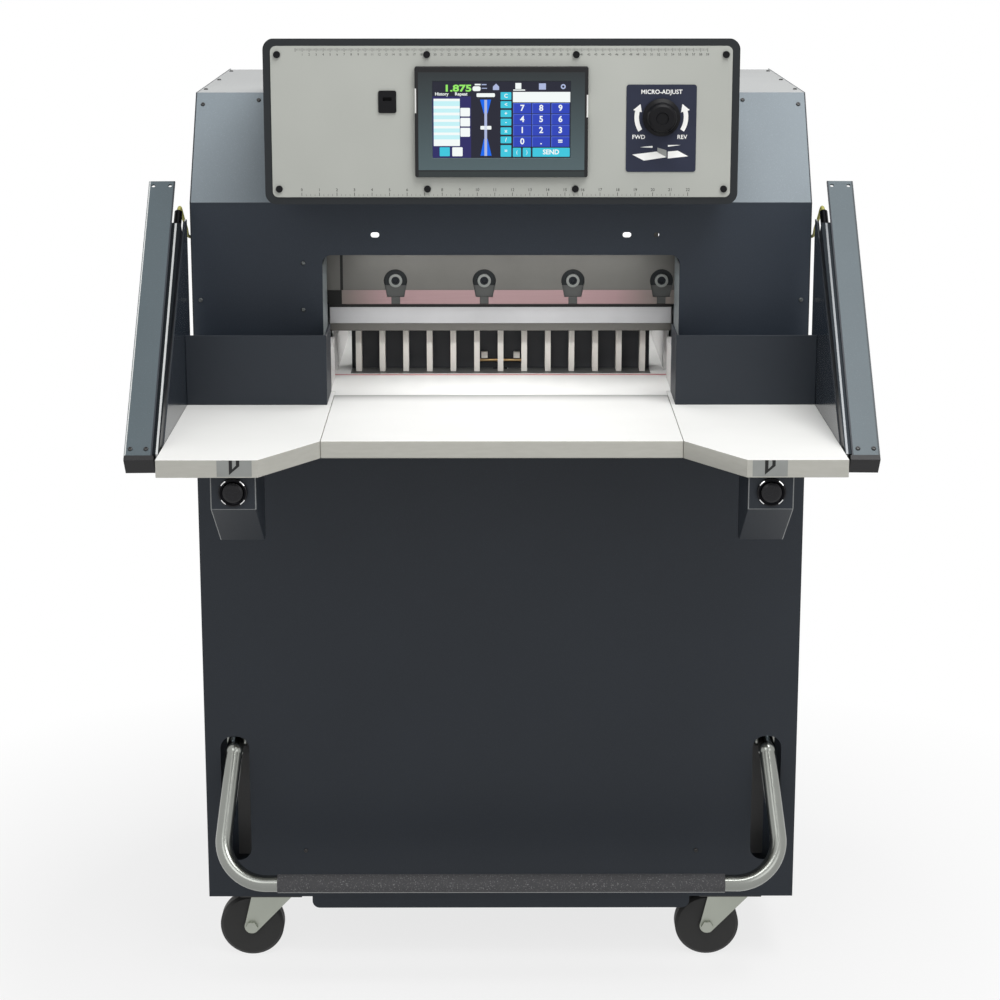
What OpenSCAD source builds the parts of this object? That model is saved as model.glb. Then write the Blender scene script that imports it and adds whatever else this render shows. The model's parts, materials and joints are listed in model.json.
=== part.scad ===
// Floor-standing hydraulic paper cutter on casters.
// Millimetres. The floor is z = 0, +X is the operator's right, -Y faces the operator.

/* [Body] */
// Width of the cabinet and head over the side covers
body_w = 946; // [920:2:1000]
// Depth of the cabinet and head
body_d = 653; // [645:1:720]
// Height of the cabinet's bottom edge above the floor
base_h = 116; // [116:1:130]
// Thickness of the sheet-metal covers
sheet = 2; // [1.5:0.5:3]
// How far the rear cover is set in from the rear edges of the side covers
rear_inset = 20; // [18:1:30]
// Height of the table surface above the floor
table_h = 950; // [900:5:1000]
// Height of the top cover above the table surface
head_h = 448; // [446:1:470]
// Height above the table where the head front starts to lean back
lean_h = 292; // [284:1:300]
// How far the head front leans back on its way to the top cover
lean_d = 126; // [110:1:128]

/* [Window] */
// Width of the window in the head front
window_w = 546; // [540:2:548]
// Height of the window's top edge above the table
window_h = 212; // [200:1:225]
// Height of the lamp slots above the table
lamp_h = 243; // [238:1:255]
// Distance of the lamp slots from the middle
lamp_x = 192; // [180:1:210]

/* [Tables] */
// Width of the centre front table
table_w = 512; // [506:2:522]
// Thickness of the front tables
table_t = 25; // [22:1:30]
// Overhang of the centre table in front of the cabinet
table_reach = 360; // [340:2:380]
// Overhang of the side tables in front of the centre table
wing_reach = 121; // [110:1:130]
// Width of the straight front edge of a side table
wing_front = 139; // [130:1:148]
// Distance of the seam between front table and bed in front of the cabinet
seam_d = 27; // [20:1:35]
// Thickness of the bed plate
bed_t = 40; // [36:1:45]
// Height of the table guards
guard_h = 106; // [90:1:120]
// Distance of the guards in front of the cabinet
guard_d = 104; // [95:1:112]
// Thickness of the guard sheet
guard_t = 3; // [2:0.5:4]
// Height of the side lays in the mouth
lay_h = 66; // [60:1:68]
// Thickness of the side lays
lay_t = 8; // [6:1:9]

/* [Knife and clamp] */
// Distance of the cut line behind the cabinet front
cut_d = 140; // [135:1:150]
// Half length of the knife beam
beam_l = 354; // [350:1:356]
// Sideways swing of the knife over its stroke
swing = 44; // [38:1:46]
// Height of the raised knife edge above the table
edge_h = 113; // [108:1:116]
// Running gap left between the lowered knife and the cutting stick
stick_gap = 0.3; // [0.2:0.1:1]
// Thickness of the knife
knife_t = 10; // [8:1:11]
// Thickness of the knife beam's front wall
beam_t = 10; // [9:1:12]
// Spacing of the knife screws
screw_pitch = 140; // [130:1:145]
// Diameter of the keyhole recesses over the knife screws
recess_d = 37; // [34:1:40]
// Diameter of the knife screw heads
screw_head = 21; // [18:1:24]
// Diameter of the knife screw shanks
screw_d = 12; // [10:1:14]
// Diameter of the guide studs that steer the knife beam
stud_d = 20; // [18:1:22]
// Height of the raised clamp above the table
clamp_open = 70; // [69:1:76]
// Height of the clamp beam
clamp_h = 130; // [125:1:132]
// Depth of the clamp beam
clamp_d = 40; // [38:1:44]
// Running clearance beside the knife and the clamp
run_gap = 0.4; // [0.3:0.1:0.6]

/* [Back gauge] */
// Spacing of the gauge fingers
finger_pitch = 38; // [36:0.5:39.5]
// Width of a gauge finger
finger_w = 9; // [8:0.5:12]
// Height of the gauge above the table
gauge_h = 85; // [80:1:92]
// Distance of the gauge behind the cut line in the stored position
gauge_y = 28; // [26:1:34]
// Length of the fingers in front of the gauge beam
finger_l = 30; // [28:1:36]
// Diameter of the lead screw
lead_d = 16; // [14:1:20]
// Depth of the lead screw below the table surface
lead_z = 75; // [72:1:85]

/* [Hydraulics] */
// Outer diameter of the knife cylinder
cyl_d = 44; // [40:1:48]
// Diameter of the pistons
piston_d = 30; // [28:1:32]
// Diameter of the piston rods
rod_d = 16; // [14:1:18]
// Outer diameter of the clamp cylinders
clamp_cyl_d = 39; // [36:1:40]
// Distance of the clamp cylinders from the middle
clamp_cyl_x = 180; // [175:1:200]
// Length of the oil tank
tank_l = 320; // [280:5:360]
// Diameter of the pump motor
motor_d = 150; // [120:5:160]

/* [Control box] */
// Width of the control box
box_w = 684; // [680:1:700]
// Height of the control box's underside above the table
box_z = 311; // [302:1:320]
// Height of the control box
box_h = 237; // [230:1:245]
// How far the control box stands in front of the cabinet front
box_reach = 174; // [150:1:190]
// Corner radius of the control box front
box_r = 16; // [8:1:20]
// Width of the control panel plate
panel_w = 662; // [650:1:670]
// Height of the control panel plate
panel_h = 216; // [210:1:220]
// Thickness of the control panel plate
panel_t = 2; // [1.5:0.5:3]
// Width of the screen bezel
bezel_w = 249; // [240:1:255]
// Height of the screen bezel
bezel_h = 158; // [154:1:160]
// How far the screen bezel stands proud of the panel
bezel_t = 8; // [6:1:10]
// Width of the screen glass
glass_w = 198; // [192:1:204]
// Height of the screen glass
glass_h = 109; // [104:1:112]
// Diameter of the micro-adjust knob
knob_d = 54; // [48:1:58]
// How far the micro-adjust knob stands out
knob_l = 26; // [20:1:32]
// Distance of the micro-adjust knob from the middle
knob_x = 230; // [225:1:236]

/* [Light columns] */
// Width of a column's face
column_w = 39; // [36:1:42]
// Length of a column
column_l = 514; // [490:1:520]
// Lean of the columns back from the vertical
column_lean = 49.4; // [48:0.2:50.6]
// Splay of the columns away from each other towards their tops
column_splay = 0.55; // [0.3:0.05:0.6]
// Depth of a column channel
column_d = 30; // [28:1:34]
// Thickness of the column and side plate sheet
plate_t = 3; // [2:0.5:3]
// Width of a light bar
bar_w = 14; // [13.6:0.2:15]
// Diameter of a sensor cable
cable_d = 5; // [4:0.5:5.5]

/* [Cut buttons] */
// Width of a button box
button_box_w = 63; // [60:1:70]
// Height of a button box front
button_box_h = 50; // [48:1:58]
// Distance of a button from the middle of the machine
button_x = 370; // [365:1:380]
// Outer diameter of a button bezel
button_ring_d = 40; // [36:1:44]
// Diameter of a cut button
button_d = 28; // [24:1:30]
// Travel of a cut button
button_travel = 5; // [3:0.5:6]

/* [Foot bar] */
// Outer diameter of the foot bar tube
tube_d = 26; // [24:1:28]
// Wall of the foot bar tube
tube_wall = 2; // [1.5:0.5:3]
// Distance of the foot bar arms from the middle
arm_x = 437; // [432:1:440]
// Bend radius of the foot bar at its middle line
bend_r = 70; // [60:1:80]
// Height of the foot bar above the floor
bar_z = 191; // [186:1:200]
// How far the foot bar stands in front of the cabinet
bar_reach = 130; // [120:1:140]
// Slant of the foot bar arms towards the middle
splay = 4.5; // [2:0.5:5]
// Height of the foot bar's pivot above the floor
pivot_z = 375; // [370:1:385]
// Diameter of the pivot shaft
pivot_d = 20; // [18:1:22]
// Outer diameter of the foam grip
grip_d = 29; // [28.5:0.5:34]

/* [Casters] */
// Wheel diameter
wheel_d = 104; // [98:1:104]
// Wheel width
wheel_w = 32; // [28:1:36]
// Axle diameter
axle_d = 12; // [10:1:14]
// Swivel trail of the front casters
trail = 35; // [30:1:36]
// Distance of the front swivel axes from the middle
caster_x = 373; // [365:1:380]
// Distance of the front swivel axes behind the cabinet front
caster_y = 48; // [46:1:60]
// Running clearance on axles, studs, rods and shafts
fit_gap = 0.1; // [0.05:0.05:0.1]

/* [Hidden] */
$fn = 48;

// Main levels and planes
y_front = -(wing_reach + table_reach + body_d) / 2;
y_table = y_front + wing_reach;
y_body = y_table + table_reach;
y_rear = y_body + body_d;
y_back = y_rear - rear_inset;
y_seam = y_body - seam_d;
y_guard = y_body - guard_d;
y_cut = y_body + cut_d;
z_table = table_h;
z_top = z_table + head_h;
x_body = body_w / 2;
x_in = x_body - sheet;

// Frame and crosshead
frame_gap = 4;
frame_t = 30;
x_frame = beam_l + swing + frame_gap;
frame_in = 86;
frame_d = 420;
frame_y0 = y_body + frame_in;
frame_y1 = frame_y0 + frame_d;
bar_h = 40;
cheek_gap = 2;
cheek_x = window_w / 2 + cheek_gap;
y_beam = y_cut - knife_t - beam_t;
y_cross = y_cut + run_gap;
y_clamp = y_cut + run_gap;
y_web = y_clamp + clamp_d + run_gap;
cross_d = 100;
y_cross_back = y_cross + cross_d;
bridge_gap = 35;
stud_clear = 4;
bridge_z = z_table + clamp_open + clamp_h + bridge_gap;
bridge_t = 27;
z_bridge = bridge_z + bridge_t;

// Knife path
stroke = edge_h - stick_gap;
slant = atan(swing / stroke);
beam_low = 4;
beam_body = 137;
ear_h = 110;
ear_l = 124;
stud_pad = 15;
stud_edge = 20;
stud_x = beam_l - swing - stud_edge;
stud_rise = 107;
stud_z = z_table + edge_h + stud_rise;
beam_bottom = z_table + edge_h + beam_low;
beam_top = z_table + edge_h + beam_body;
blade_h = 92;
recess_rise = 41;
recess_z = z_table + edge_h + recess_rise;
recess_drop = 26;
recess_depth = 8;

// Clamp and gauge
slot_gap = 3;
gauge_side = 44;
finger_n = 2 * floor((window_w / 2 - gauge_side) / finger_pitch) + 1;
clamp_step = 13;
clamp_lip = 6;
clamp_x = cheek_x - 3;
clamp_slot_h = gauge_h + 10;
gauge_beam_d = 30;
gauge_lift = 0.3;
gauge_x = finger_pitch * (finger_n - 1) / 2 + finger_w / 2 + 8;
gauge_back = y_cut + gauge_y + finger_l;
nut_l = 20;
nut_y = gauge_back + gauge_beam_d / 2;
z_lead = z_table - lead_z;
lead_block_t = 14;
lead_y0 = nut_y - nut_l / 2 - 12 - lead_block_t;
lead_y1 = y_back - sheet - 6;
nut_slot = 20;
slot_side = 2.3;

// Control box planes
y_box = y_body - box_reach;
z_box = z_table + box_z;
z_box_top = z_box + box_h;
z_panel = z_box + box_h / 2;
y_panel = y_box - panel_t;
box_wall = 3;
box_tail = 40;
box_fall = 36;
bezel_z = z_panel + 0.5;
glass_z = z_panel + 4;
panel_screw_edge = 9.5;
panel_screw_mid = 107;
panel_screw_x = [panel_screw_edge - panel_w / 2, -panel_screw_mid, panel_screw_mid,
    panel_w / 2 - panel_screw_edge];
panel_screw_z = panel_h / 2 - 12;
rim_open_w = panel_w - 62;
rim_open_h = panel_h - 46;
dial_w = 101;
dial_h = 125;
dial_t = 1;
dial_z = z_panel - 9;
knob_z = z_panel + 7;
knob_shaft = 8;
usb_x = -164;
usb_z = z_panel + 29;
usb_w = 26;
usb_h = 32;

// Column line, measured along the face from its foot
column_in = 52;
column_drop = 5;
foot_y = y_front + column_in;
foot_z = z_table - column_drop;
cap_l = 8;
column_x = 11;
light_l0 = 4;
light_l1 = 433;
light_d = 25;
boot_l = 32;
boot_d = 14;
x_plate = x_body;
x_light = x_plate + 2;
plate_gap = 39;
plate_h = 272;
gland_h = 236;
gland_in = 32;
plate_rear = y_body - plate_gap;
plate_top = z_table + plate_h;
gland_z = z_table + gland_h;
gland_y = y_body + gland_in;

// Buttons
button_in = 22;
button_front = y_front + button_in;
button_box_d = 133;
button_z = z_table - table_t - button_box_h / 2;
button_lip = 6;
button_out = 9;

// Foot bar
bar_y = y_body - bar_reach;
pivot_in = 48;
elbow_out = 4;
elbow_drop = 8;
pivot_y = y_body + pivot_in;
elbow_y = y_body - elbow_out;
elbow_z = pivot_z - elbow_drop;
grip_margin = 17;
grip_l = 2 * (arm_x - bend_r - grip_margin);
arm_rise = norm([elbow_y - bar_y, elbow_z - bar_z]);
arm_l = (arm_rise - bend_r - bend_r * sin(splay)) / cos(splay);
elbow_x = arm_x - bend_r + bend_r * cos(splay) - arm_l * sin(splay);
pedal_slot_w = 46;
pedal_slot_r = 20;
weld = 2;
bend_swell = 0.2;
hub_d = 36;
hub_l = 30;
pedal_slot_x = elbow_x;
pedal_slot_z0 = bar_z - 12;
pedal_slot_z1 = pivot_z + 14;

// Casters
caster_plate = 100;
caster_plate_t = 3;
race_h = 4;
crown_t = 3;
leg_t = 3;
leg_gap = 2;
leg_r = 12;
kingpin_d = 12;
rear_caster_x = x_frame;
rear_caster_in = 47;
rear_caster_y = y_back - rear_caster_in;
fork_top = base_h - caster_plate_t - 0.3;

// Colours
DARK = [0.14, 0.17, 0.20];
GREY = [0.72, 0.73, 0.71];
WHITE = [0.90, 0.90, 0.87];
STEEL = [0.66, 0.66, 0.65];
ZINC = [0.74, 0.75, 0.71];
BLACK = [0.07, 0.07, 0.08];
IRON = [0.32, 0.34, 0.36];

// Shared shapes

// Box from two corners
module span(low, high) {
    translate(low) cube(high - low);
}

// Side profile in the YZ plane, pulled along X from x0 to x1
module along_x(points, x0, x1) {
    translate([x0, 0, 0]) rotate([90, 0, 90]) linear_extrude(x1 - x0) polygon(points);
}

// Front outline in the XZ plane, pulled along Y from y0 to y1
module along_y(y0, y1) {
    translate([0, y1, 0]) rotate([90, 0, 0]) linear_extrude(y1 - y0) children();
}

// Rectangle with round corners about its centre
module round_rect(w, h, r) {
    square([w - 2 * r, h], center = true);
    square([w, h - 2 * r], center = true);
    for (sx = [-1, 1], sz = [-1, 1])
        translate([sx * (w / 2 - r), sz * (h / 2 - r)]) circle(r);
}

// Round bar along Y
module bar_y(x, z, d, y0, y1) {
    translate([x, y0, z]) rotate([-90, 0, 0]) cylinder(h = y1 - y0, d = d);
}

// Round bar along X
module bar_x(y, z, d, x0, x1) {
    translate([x0, y, z]) rotate([0, 90, 0]) cylinder(h = x1 - x0, d = d);
}

// Upright round bar
module bar_z_axis(x, y, d, z0, z1) {
    translate([x, y, z0]) cylinder(h = z1 - z0, d = d);
}

// The same piece on both sides
module both_sides() {
    children();
    mirror([1, 0, 0]) children();
}

// Where the head front stands at a height above the table
function lean_y(h) = y_body + lean_d * (h - lean_h) / (head_h - lean_h);

// Carcass

module base_frame() {
    side_in = x_frame - 2;
    color(DARK) difference() {
        span([-x_in, y_body + sheet, base_h], [x_in, y_back - sheet, base_h + bar_h]);
        span([-side_in, y_body + 62, base_h - 1], [side_in, y_body + 240, base_h + bar_h + 1]);
        span([-side_in, y_body + 300, base_h - 1], [side_in, y_back - 62, base_h + bar_h + 1]);
    }
}

module base_apron() {
    apron_w = 612;
    apron_h = 21;
    apron_r = 12;
    color(DARK) along_y(y_body + sheet, y_body + 2 * sheet) intersection() {
        translate([0, base_h]) round_rect(apron_w, 2 * apron_h, apron_r);
        translate([-apron_w / 2, base_h - apron_h]) square([apron_w, apron_h]);
    }
}

module cabinet_front() {
    slot_h = pedal_slot_z1 - pedal_slot_z0;
    color(DARK) difference() {
        span([-x_in, y_body, base_h], [x_in, y_body + sheet, z_table - table_t]);
        along_y(y_body - 1, y_body + sheet + 1)
            for (side = [-1, 1])
                translate([side * pedal_slot_x, pedal_slot_z0 + slot_h / 2])
                    round_rect(pedal_slot_w, slot_h, pedal_slot_r);
    }
}

module side_cover() {
    color(DARK) along_x([[y_body, base_h], [y_body, z_table + lean_h], [y_body + lean_d, z_top],
        [y_rear, z_top], [y_rear, base_h]], x_in, x_body);
}
module side_covers() { both_sides() side_cover(); }

module rear_cover() {
    vent_w = 220;
    vent_h = 10;
    color(DARK) difference() {
        span([-x_in, y_back - sheet, base_h], [x_in, y_back, z_top - sheet]);
        for (row = [0:9])
            translate([0, 0, base_h + 120 + row * 26])
                along_y(y_back - sheet - 1, y_back + 1) round_rect(vent_w, vent_h, 4.9);
    }
}

module head_front_cover() {
    window_r = 14;
    liner_t = 2;
    lamp_w = 13;
    lamp_t = 8;
    color(DARK) both_sides() span([window_w / 2, y_body + 0.5, z_table + 1],
        [window_w / 2 + liner_t, frame_y0 + 20, z_table + window_h - window_r]);
    color(DARK) difference() {
        along_x([[y_body, z_table + 1], [y_body, z_table + lean_h], [y_body + lean_d, z_top],
            [y_body + lean_d + sheet, z_top], [y_body + sheet, z_table + lean_h - 1],
            [y_body + sheet, z_table + 1]], -x_in, x_in);
        along_y(y_body - 1, y_body + sheet + 1)
            translate([0, z_table + window_h / 2 - 50]) round_rect(window_w, window_h + 100, window_r);
        along_y(y_body - 1, y_body + sheet + 1)
            for (side = [-1, 1])
                translate([side * lamp_x, z_table + lamp_h]) round_rect(lamp_w, lamp_t, 3.9);
        bar_y(lamp_x + 45, z_table + lamp_h, lamp_t, y_body - 1, y_body + sheet + 1);
    }
}

module top_cover() {
    color(DARK) span([-x_in, y_body + lean_d + sheet, z_top - sheet], [x_in, y_back, z_top]);
}

module side_frame() {
    color(IRON) span([x_frame, frame_y0, base_h + bar_h], [x_frame + frame_t, frame_y1, z_bridge]);
}
module side_frames() { both_sides() side_frame(); }

module crosshead() {
    color(IRON) difference() {
        union() {
            span([-x_frame, y_cross, bridge_z], [x_frame, y_cross_back, z_bridge]);
            for (side = [-1, 1])
                span([min(side * cheek_x, side * x_frame), y_cross, z_table],
                    [max(side * cheek_x, side * x_frame), y_cross_back, bridge_z]);
            for (side = [-1, 1])
                span([min(side * (stud_x - stud_pad), side * x_frame), y_cross,
                    bridge_z - bridge_gap + stud_clear],
                    [max(side * (stud_x - stud_pad), side * x_frame), y_cross_back, bridge_z]);
            span([-cheek_x, y_web, z_table + gauge_h + bridge_gap], [cheek_x, y_cross_back, bridge_z]);
        }
        for (side = [-1, 1])
            bar_z_axis(side * clamp_cyl_x, y_clamp + clamp_d / 2, rod_d + 2 * fit_gap, bridge_z - 1,
                z_bridge + 1);
    }
}

module guide_studs() {
    washer_t = 6;
    color(STEEL) for (side = [-1, 1]) {
        bar_y(side * stud_x, stud_z, stud_d, y_beam - run_gap, y_cross);
        bar_y(side * stud_x, stud_z, stud_d + 14, y_beam - run_gap - washer_t, y_beam - run_gap);
    }
}

module lamps() {
    lamp_l = 26;
    lamp_t = 12;
    color([0.95, 0.97, 1]) for (side = [-1, 1])
        span([side * lamp_x - lamp_l / 2, y_body + sheet, z_table + lamp_h - lamp_t / 2],
            [side * lamp_x + lamp_l / 2, y_body + sheet + 6, z_table + lamp_h + lamp_t / 2]);
}

// Tables

module bed() {
    stick_w = 10;
    front_x = table_w / 2;
    color(STEEL) difference() {
        union() {
            span([-front_x, y_seam, z_table - table_t], [front_x, y_body + sheet, z_table]);
            span([-x_frame, y_body + sheet, z_table - bed_t], [x_frame, lead_y1 + 1, z_table]);
        }
        span([-x_frame - 1, y_cut - stick_w / 2, z_table - stick_w],
            [x_frame + 1, y_cut + stick_w / 2, z_table + 1]);
        span([-nut_slot / 2 - slot_side, lead_y0 + lead_block_t, z_table - bed_t - 1],
            [nut_slot / 2 + slot_side, lead_y1 - lead_block_t + 2, z_table + 1]);
    }
}

module cutting_stick() {
    stick_w = 10;
    color([0.75, 0.16, 0.13]) span([-x_frame, y_cut - stick_w / 2, z_table - stick_w],
        [x_frame, y_cut + stick_w / 2, z_table]);
}

module front_table() {
    color(WHITE) span([-table_w / 2, y_table, z_table - table_t], [table_w / 2, y_seam, z_table]);
}

module side_table() {
    seam = 0.4;
    inner = table_w / 2 + seam;
    color(WHITE) translate([0, 0, z_table - table_t]) linear_extrude(table_t)
        polygon([[inner, y_body], [inner, y_table], [x_body - wing_front, y_front], [x_body, y_front],
            [x_body, y_body]]);
}
module side_tables() { both_sides() side_table(); }

module table_brackets() {
    rib_t = 6;
    top = z_table - table_t;
    drop = 60;
    tip_in = 130;
    tip_h = 18;
    rib_edge = 60;
    rib_out = 30;
    rib_x = [table_w / 2 - rib_edge, x_body - rib_out];
    color(DARK) both_sides() for (x = rib_x)
        along_x([[y_body, top], [y_table + tip_in, top], [y_table + tip_in, top - tip_h],
            [y_body, top - drop]],
            x - rib_t / 2, x + rib_t / 2);
}

module guard() {
    guard_in = 11;
    inner = window_w / 2 - guard_in;
    color(DARK) {
        span([inner, y_guard, z_table], [x_body, y_guard + guard_t, z_table + guard_h]);
        span([inner, y_guard, z_table], [inner + guard_t, y_body, z_table + guard_h]);
    }
}
module guards() { both_sides() guard(); }

module side_lays() {
    lay_in = 10;
    inner = window_w / 2 - lay_in;
    rear_t = 6;
    rear_l = 340;
    color(STEEL) both_sides() {
        span([inner, y_body + sheet + 2, z_table], [inner + lay_t, y_beam - 8, z_table + lay_h]);
        span([inner, y_web + 2, z_table], [inner + rear_t, y_web + rear_l, z_table + lay_h]);
    }
}

// Control box

module box_shell(inset) {
    wall = inset * 1.3;
    tail_y = y_body + lean_d + box_tail;
    along_x([[y_box + inset, z_box + inset], [y_box + inset, z_box_top - inset],
        [tail_y - inset, z_box_top - box_fall - inset], [tail_y - inset, z_top + inset],
        [y_body + lean_d - wall, z_top + inset],
        [lean_y(box_z + inset) - wall, z_box + inset]], -box_w / 2 + inset, box_w / 2 - inset);
}

module control_box() {
    color(DARK) difference() {
        intersection() {
            box_shell(0);
            along_y(y_box - 1, y_body + lean_d + box_tail + 1)
                translate([0, z_panel]) round_rect(box_w, box_h, box_r);
        }
        box_shell(box_wall);
        along_y(y_box - 1, y_box + box_wall + 1) translate([0, z_panel])
            round_rect(rim_open_w, rim_open_h, 4);
        panel_screw_holes(y_box - 1, y_box + box_wall + 1);
    }
}

module panel_screw_holes(y0, y1) {
    hole_d = 5;
    for (x = panel_screw_x, side = [-1, 1])
        bar_y(x, z_panel + side * panel_screw_z, hole_d, y0, y1);
}

module control_panel() {
    back = y_box + 1;
    color(GREY) difference() {
        along_y(y_panel, y_box) translate([0, z_panel]) round_rect(panel_w, panel_h, 8);
        panel_screw_holes(y_panel - 1, back);
        along_y(y_panel - 1, back) {
            translate([0, bezel_z]) square([bezel_w - 30, bezel_h - 30], center = true);
            translate([usb_x, usb_z]) square([usb_w - 6, usb_h - 6], center = true);
            translate([knob_x, knob_z]) circle(d = knob_shaft + 2 * fit_gap);
        }
    }
}

module panel_screws() {
    head_d = 10;
    head_h = 3;
    shank_d = 4.6;
    color(BLACK) for (x = panel_screw_x, side = [-1, 1]) {
        bar_y(x, z_panel + side * panel_screw_z, head_d, y_panel - head_h, y_panel);
        bar_y(x, z_panel + side * panel_screw_z, shank_d, y_panel, y_box + box_wall);
    }
}

module screen_bezel() {
    module_d = 38;
    color(BLACK) difference() {
        union() {
            along_y(y_panel - bezel_t, y_panel) translate([0, bezel_z]) round_rect(bezel_w, bezel_h, 3);
            along_y(y_panel, y_panel + module_d)
                translate([0, bezel_z]) square([bezel_w - 31, bezel_h - 31], center = true);
        }
        along_y(y_panel - bezel_t - 1, y_panel - bezel_t + 2)
            translate([0, glass_z]) square([glass_w, glass_h], center = true);
    }
}

module screen_glass() {
    color([0.05, 0.12, 0.35]) along_y(y_panel - bezel_t + 0.5, y_panel - bezel_t + 2)
        translate([0, glass_z]) square([glass_w - 0.2, glass_h - 0.2], center = true);
}

module dial_plate() {
    color([0.16, 0.18, 0.24]) difference() {
        along_y(y_panel - dial_t, y_panel) translate([knob_x, dial_z]) round_rect(dial_w, dial_h, 4);
        bar_y(knob_x, knob_z, knob_shaft + 2 * fit_gap, y_panel - dial_t - 1, y_panel + 1);
    }
}

module data_socket() {
    color(BLACK) difference() {
        union() {
            along_y(y_panel - 2, y_panel) translate([usb_x, usb_z]) round_rect(usb_w, usb_h, 3);
            along_y(y_panel, y_box + 12) translate([usb_x, usb_z])
                square([usb_w - 7, usb_h - 7], center = true);
        }
        along_y(y_panel - 3, y_panel + 8) translate([usb_x, usb_z + 4]) square([12.5, 5], center = true);
    }
}

module micro_knob() {
    gap = 0.6;
    front = y_panel - dial_t - gap;
    color(BLACK) translate([knob_x, front, knob_z]) rotate([90, 0, 0]) {
        rotate_extrude() polygon([[0, 0], [knob_d / 2, 0], [knob_d / 2, 5], [knob_d / 2 - 5, 9],
            [knob_d / 2 - 7, knob_l - 3], [knob_d / 2 - 10, knob_l], [9, knob_l], [8, knob_l - 2],
                [0, knob_l - 2]]);
        translate([0, 0, -gap - dial_t - 20]) cylinder(h = 20 + gap + dial_t, d = knob_shaft);
    }
}

// Light columns, drawn on the right in a frame whose Z runs up the column's face

module column_frame() {
    translate([x_plate, foot_y, foot_z]) rotate([-column_lean, 0, 0]) children();
}

module column() {
    hole_d = 6;
    hole_edge = 7;
    hole_top = 9;
    flange_gap = 40;
    outer = column_x + column_w;
    color(DARK) column_frame() rotate([0, column_splay, 0]) {
        difference() {
            span([column_x, 0, 0], [outer, plate_t, column_l]);
            for (x = [column_x + hole_edge, outer - hole_edge])
                bar_y(x, column_l - hole_top, hole_d, -1, plate_t + 1);
        }
        span([outer - plate_t, plate_t, 0], [outer, column_d, column_l - flange_gap]);
        span([column_x - 2, 0, -cap_l], [outer, column_d, 0]);
    }
}
module columns() { both_sides() column(); }

module light_bars() {
    x0 = x_light - x_plate;
    color(ZINC) both_sides() column_frame() {
        span([x0, plate_t, light_l0], [x0 + bar_w, plate_t + light_d, light_l1]);
        translate([x0 + bar_w / 2, plate_t + light_d / 2, light_l1]) cylinder(h = boot_l, d = boot_d - 2);
    }
}

module side_plates() {
    line_d = plate_t + light_d;
    back_y = foot_y + line_d * cos(column_lean);
    back_z = foot_z - line_d * sin(column_lean);
    low = z_table - table_t;
    low_y = back_y + (low - back_z) * tan(column_lean);
    high_y = back_y + (plate_top - back_z) * tan(column_lean);
    color(DARK) both_sides()
        along_x([[low_y, low], [plate_rear, low], [plate_rear, plate_top], [high_y, plate_top]],
            x_plate, x_plate + plate_t);
}

// Sensor cable from the connector on the light bar to the side cover
boot_end = light_l1 + boot_l;
boot_back = plate_t + light_d / 2;
cable_x0 = x_light + bar_w / 2;
cable_y0 = foot_y + boot_end * sin(column_lean) + boot_back * cos(column_lean);
cable_z0 = foot_z + boot_end * cos(column_lean) - boot_back * sin(column_lean);
cable_route = [[cable_x0, cable_y0, cable_z0], [cable_x0, cable_y0 + 6, cable_z0 + 5],
    [cable_x0 - 1, cable_y0 + 18, cable_z0 + 4], [cable_x0 - 2, y_body - 26, gland_z + 36],
    [x_body + 5, y_body - 6, gland_z + 18], [x_body + 6, gland_y - 16, gland_z + 5],
    [x_body + 5, gland_y - 4, gland_z + 1], [x_body + 3, gland_y, gland_z], [x_body, gland_y, gland_z]];
cable_sides = 8;
cable_steps = 3;

// Point on the smooth curve through the route
function route_point(i) = cable_route[max(0, min(len(cable_route) - 1, i))];
function curve(i, t) =
    let (a = route_point(i - 1), b = route_point(i), c = route_point(i + 1), d = route_point(i + 2))
    (b * 2 + (c - a) * t + (a * 2 - b * 5 + c * 4 - d) * t * t + (b * 3 - a - c * 3 + d) * t * t * t) / 2;
cable_line = concat([for (i = [0:len(cable_route) - 2], s = [0:cable_steps - 1])
    curve(i, s / cable_steps)],
    [cable_route[len(cable_route) - 1]]);
function unit(v) = v / norm(v);
function heading(i) = unit(cable_line[min(len(cable_line) - 1, i + 1)] - cable_line[max(0, i - 1)]);
function ring(i) = let (n = heading(i), u = unit(cross(n, [1, 0.2, 0.1])), v = cross(n, u))
    [for (k = [0:cable_sides - 1]) cable_line[i]
        + cable_d / 2 * (cos(k * 360 / cable_sides) * u + sin(k * 360 / cable_sides) * v)];

module swept_cable() {
    rings = len(cable_line);
    points = [for (i = [0:rings - 1]) each ring(i)];
    walls = [for (i = [0:rings - 2], k = [0:cable_sides - 1])
        each let (a = i * cable_sides + k, b = i * cable_sides + (k + 1) % cable_sides,
            c = a + cable_sides, d = b + cable_sides) [[a, b, d], [a, d, c]]];
    first = [for (k = [1:cable_sides - 2]) [0, k + 1, k]];
    last_ring = (rings - 1) * cable_sides;
    last = [for (k = [1:cable_sides - 2]) [last_ring, last_ring + k, last_ring + k + 1]];
    polyhedron(points, [for (f = concat(walls, first, last)) [f[2], f[1], f[0]]]);
}

module sensor_cables() {
    color([0.66, 0.62, 0.22]) both_sides() swept_cable();
}

// Cut buttons

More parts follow.
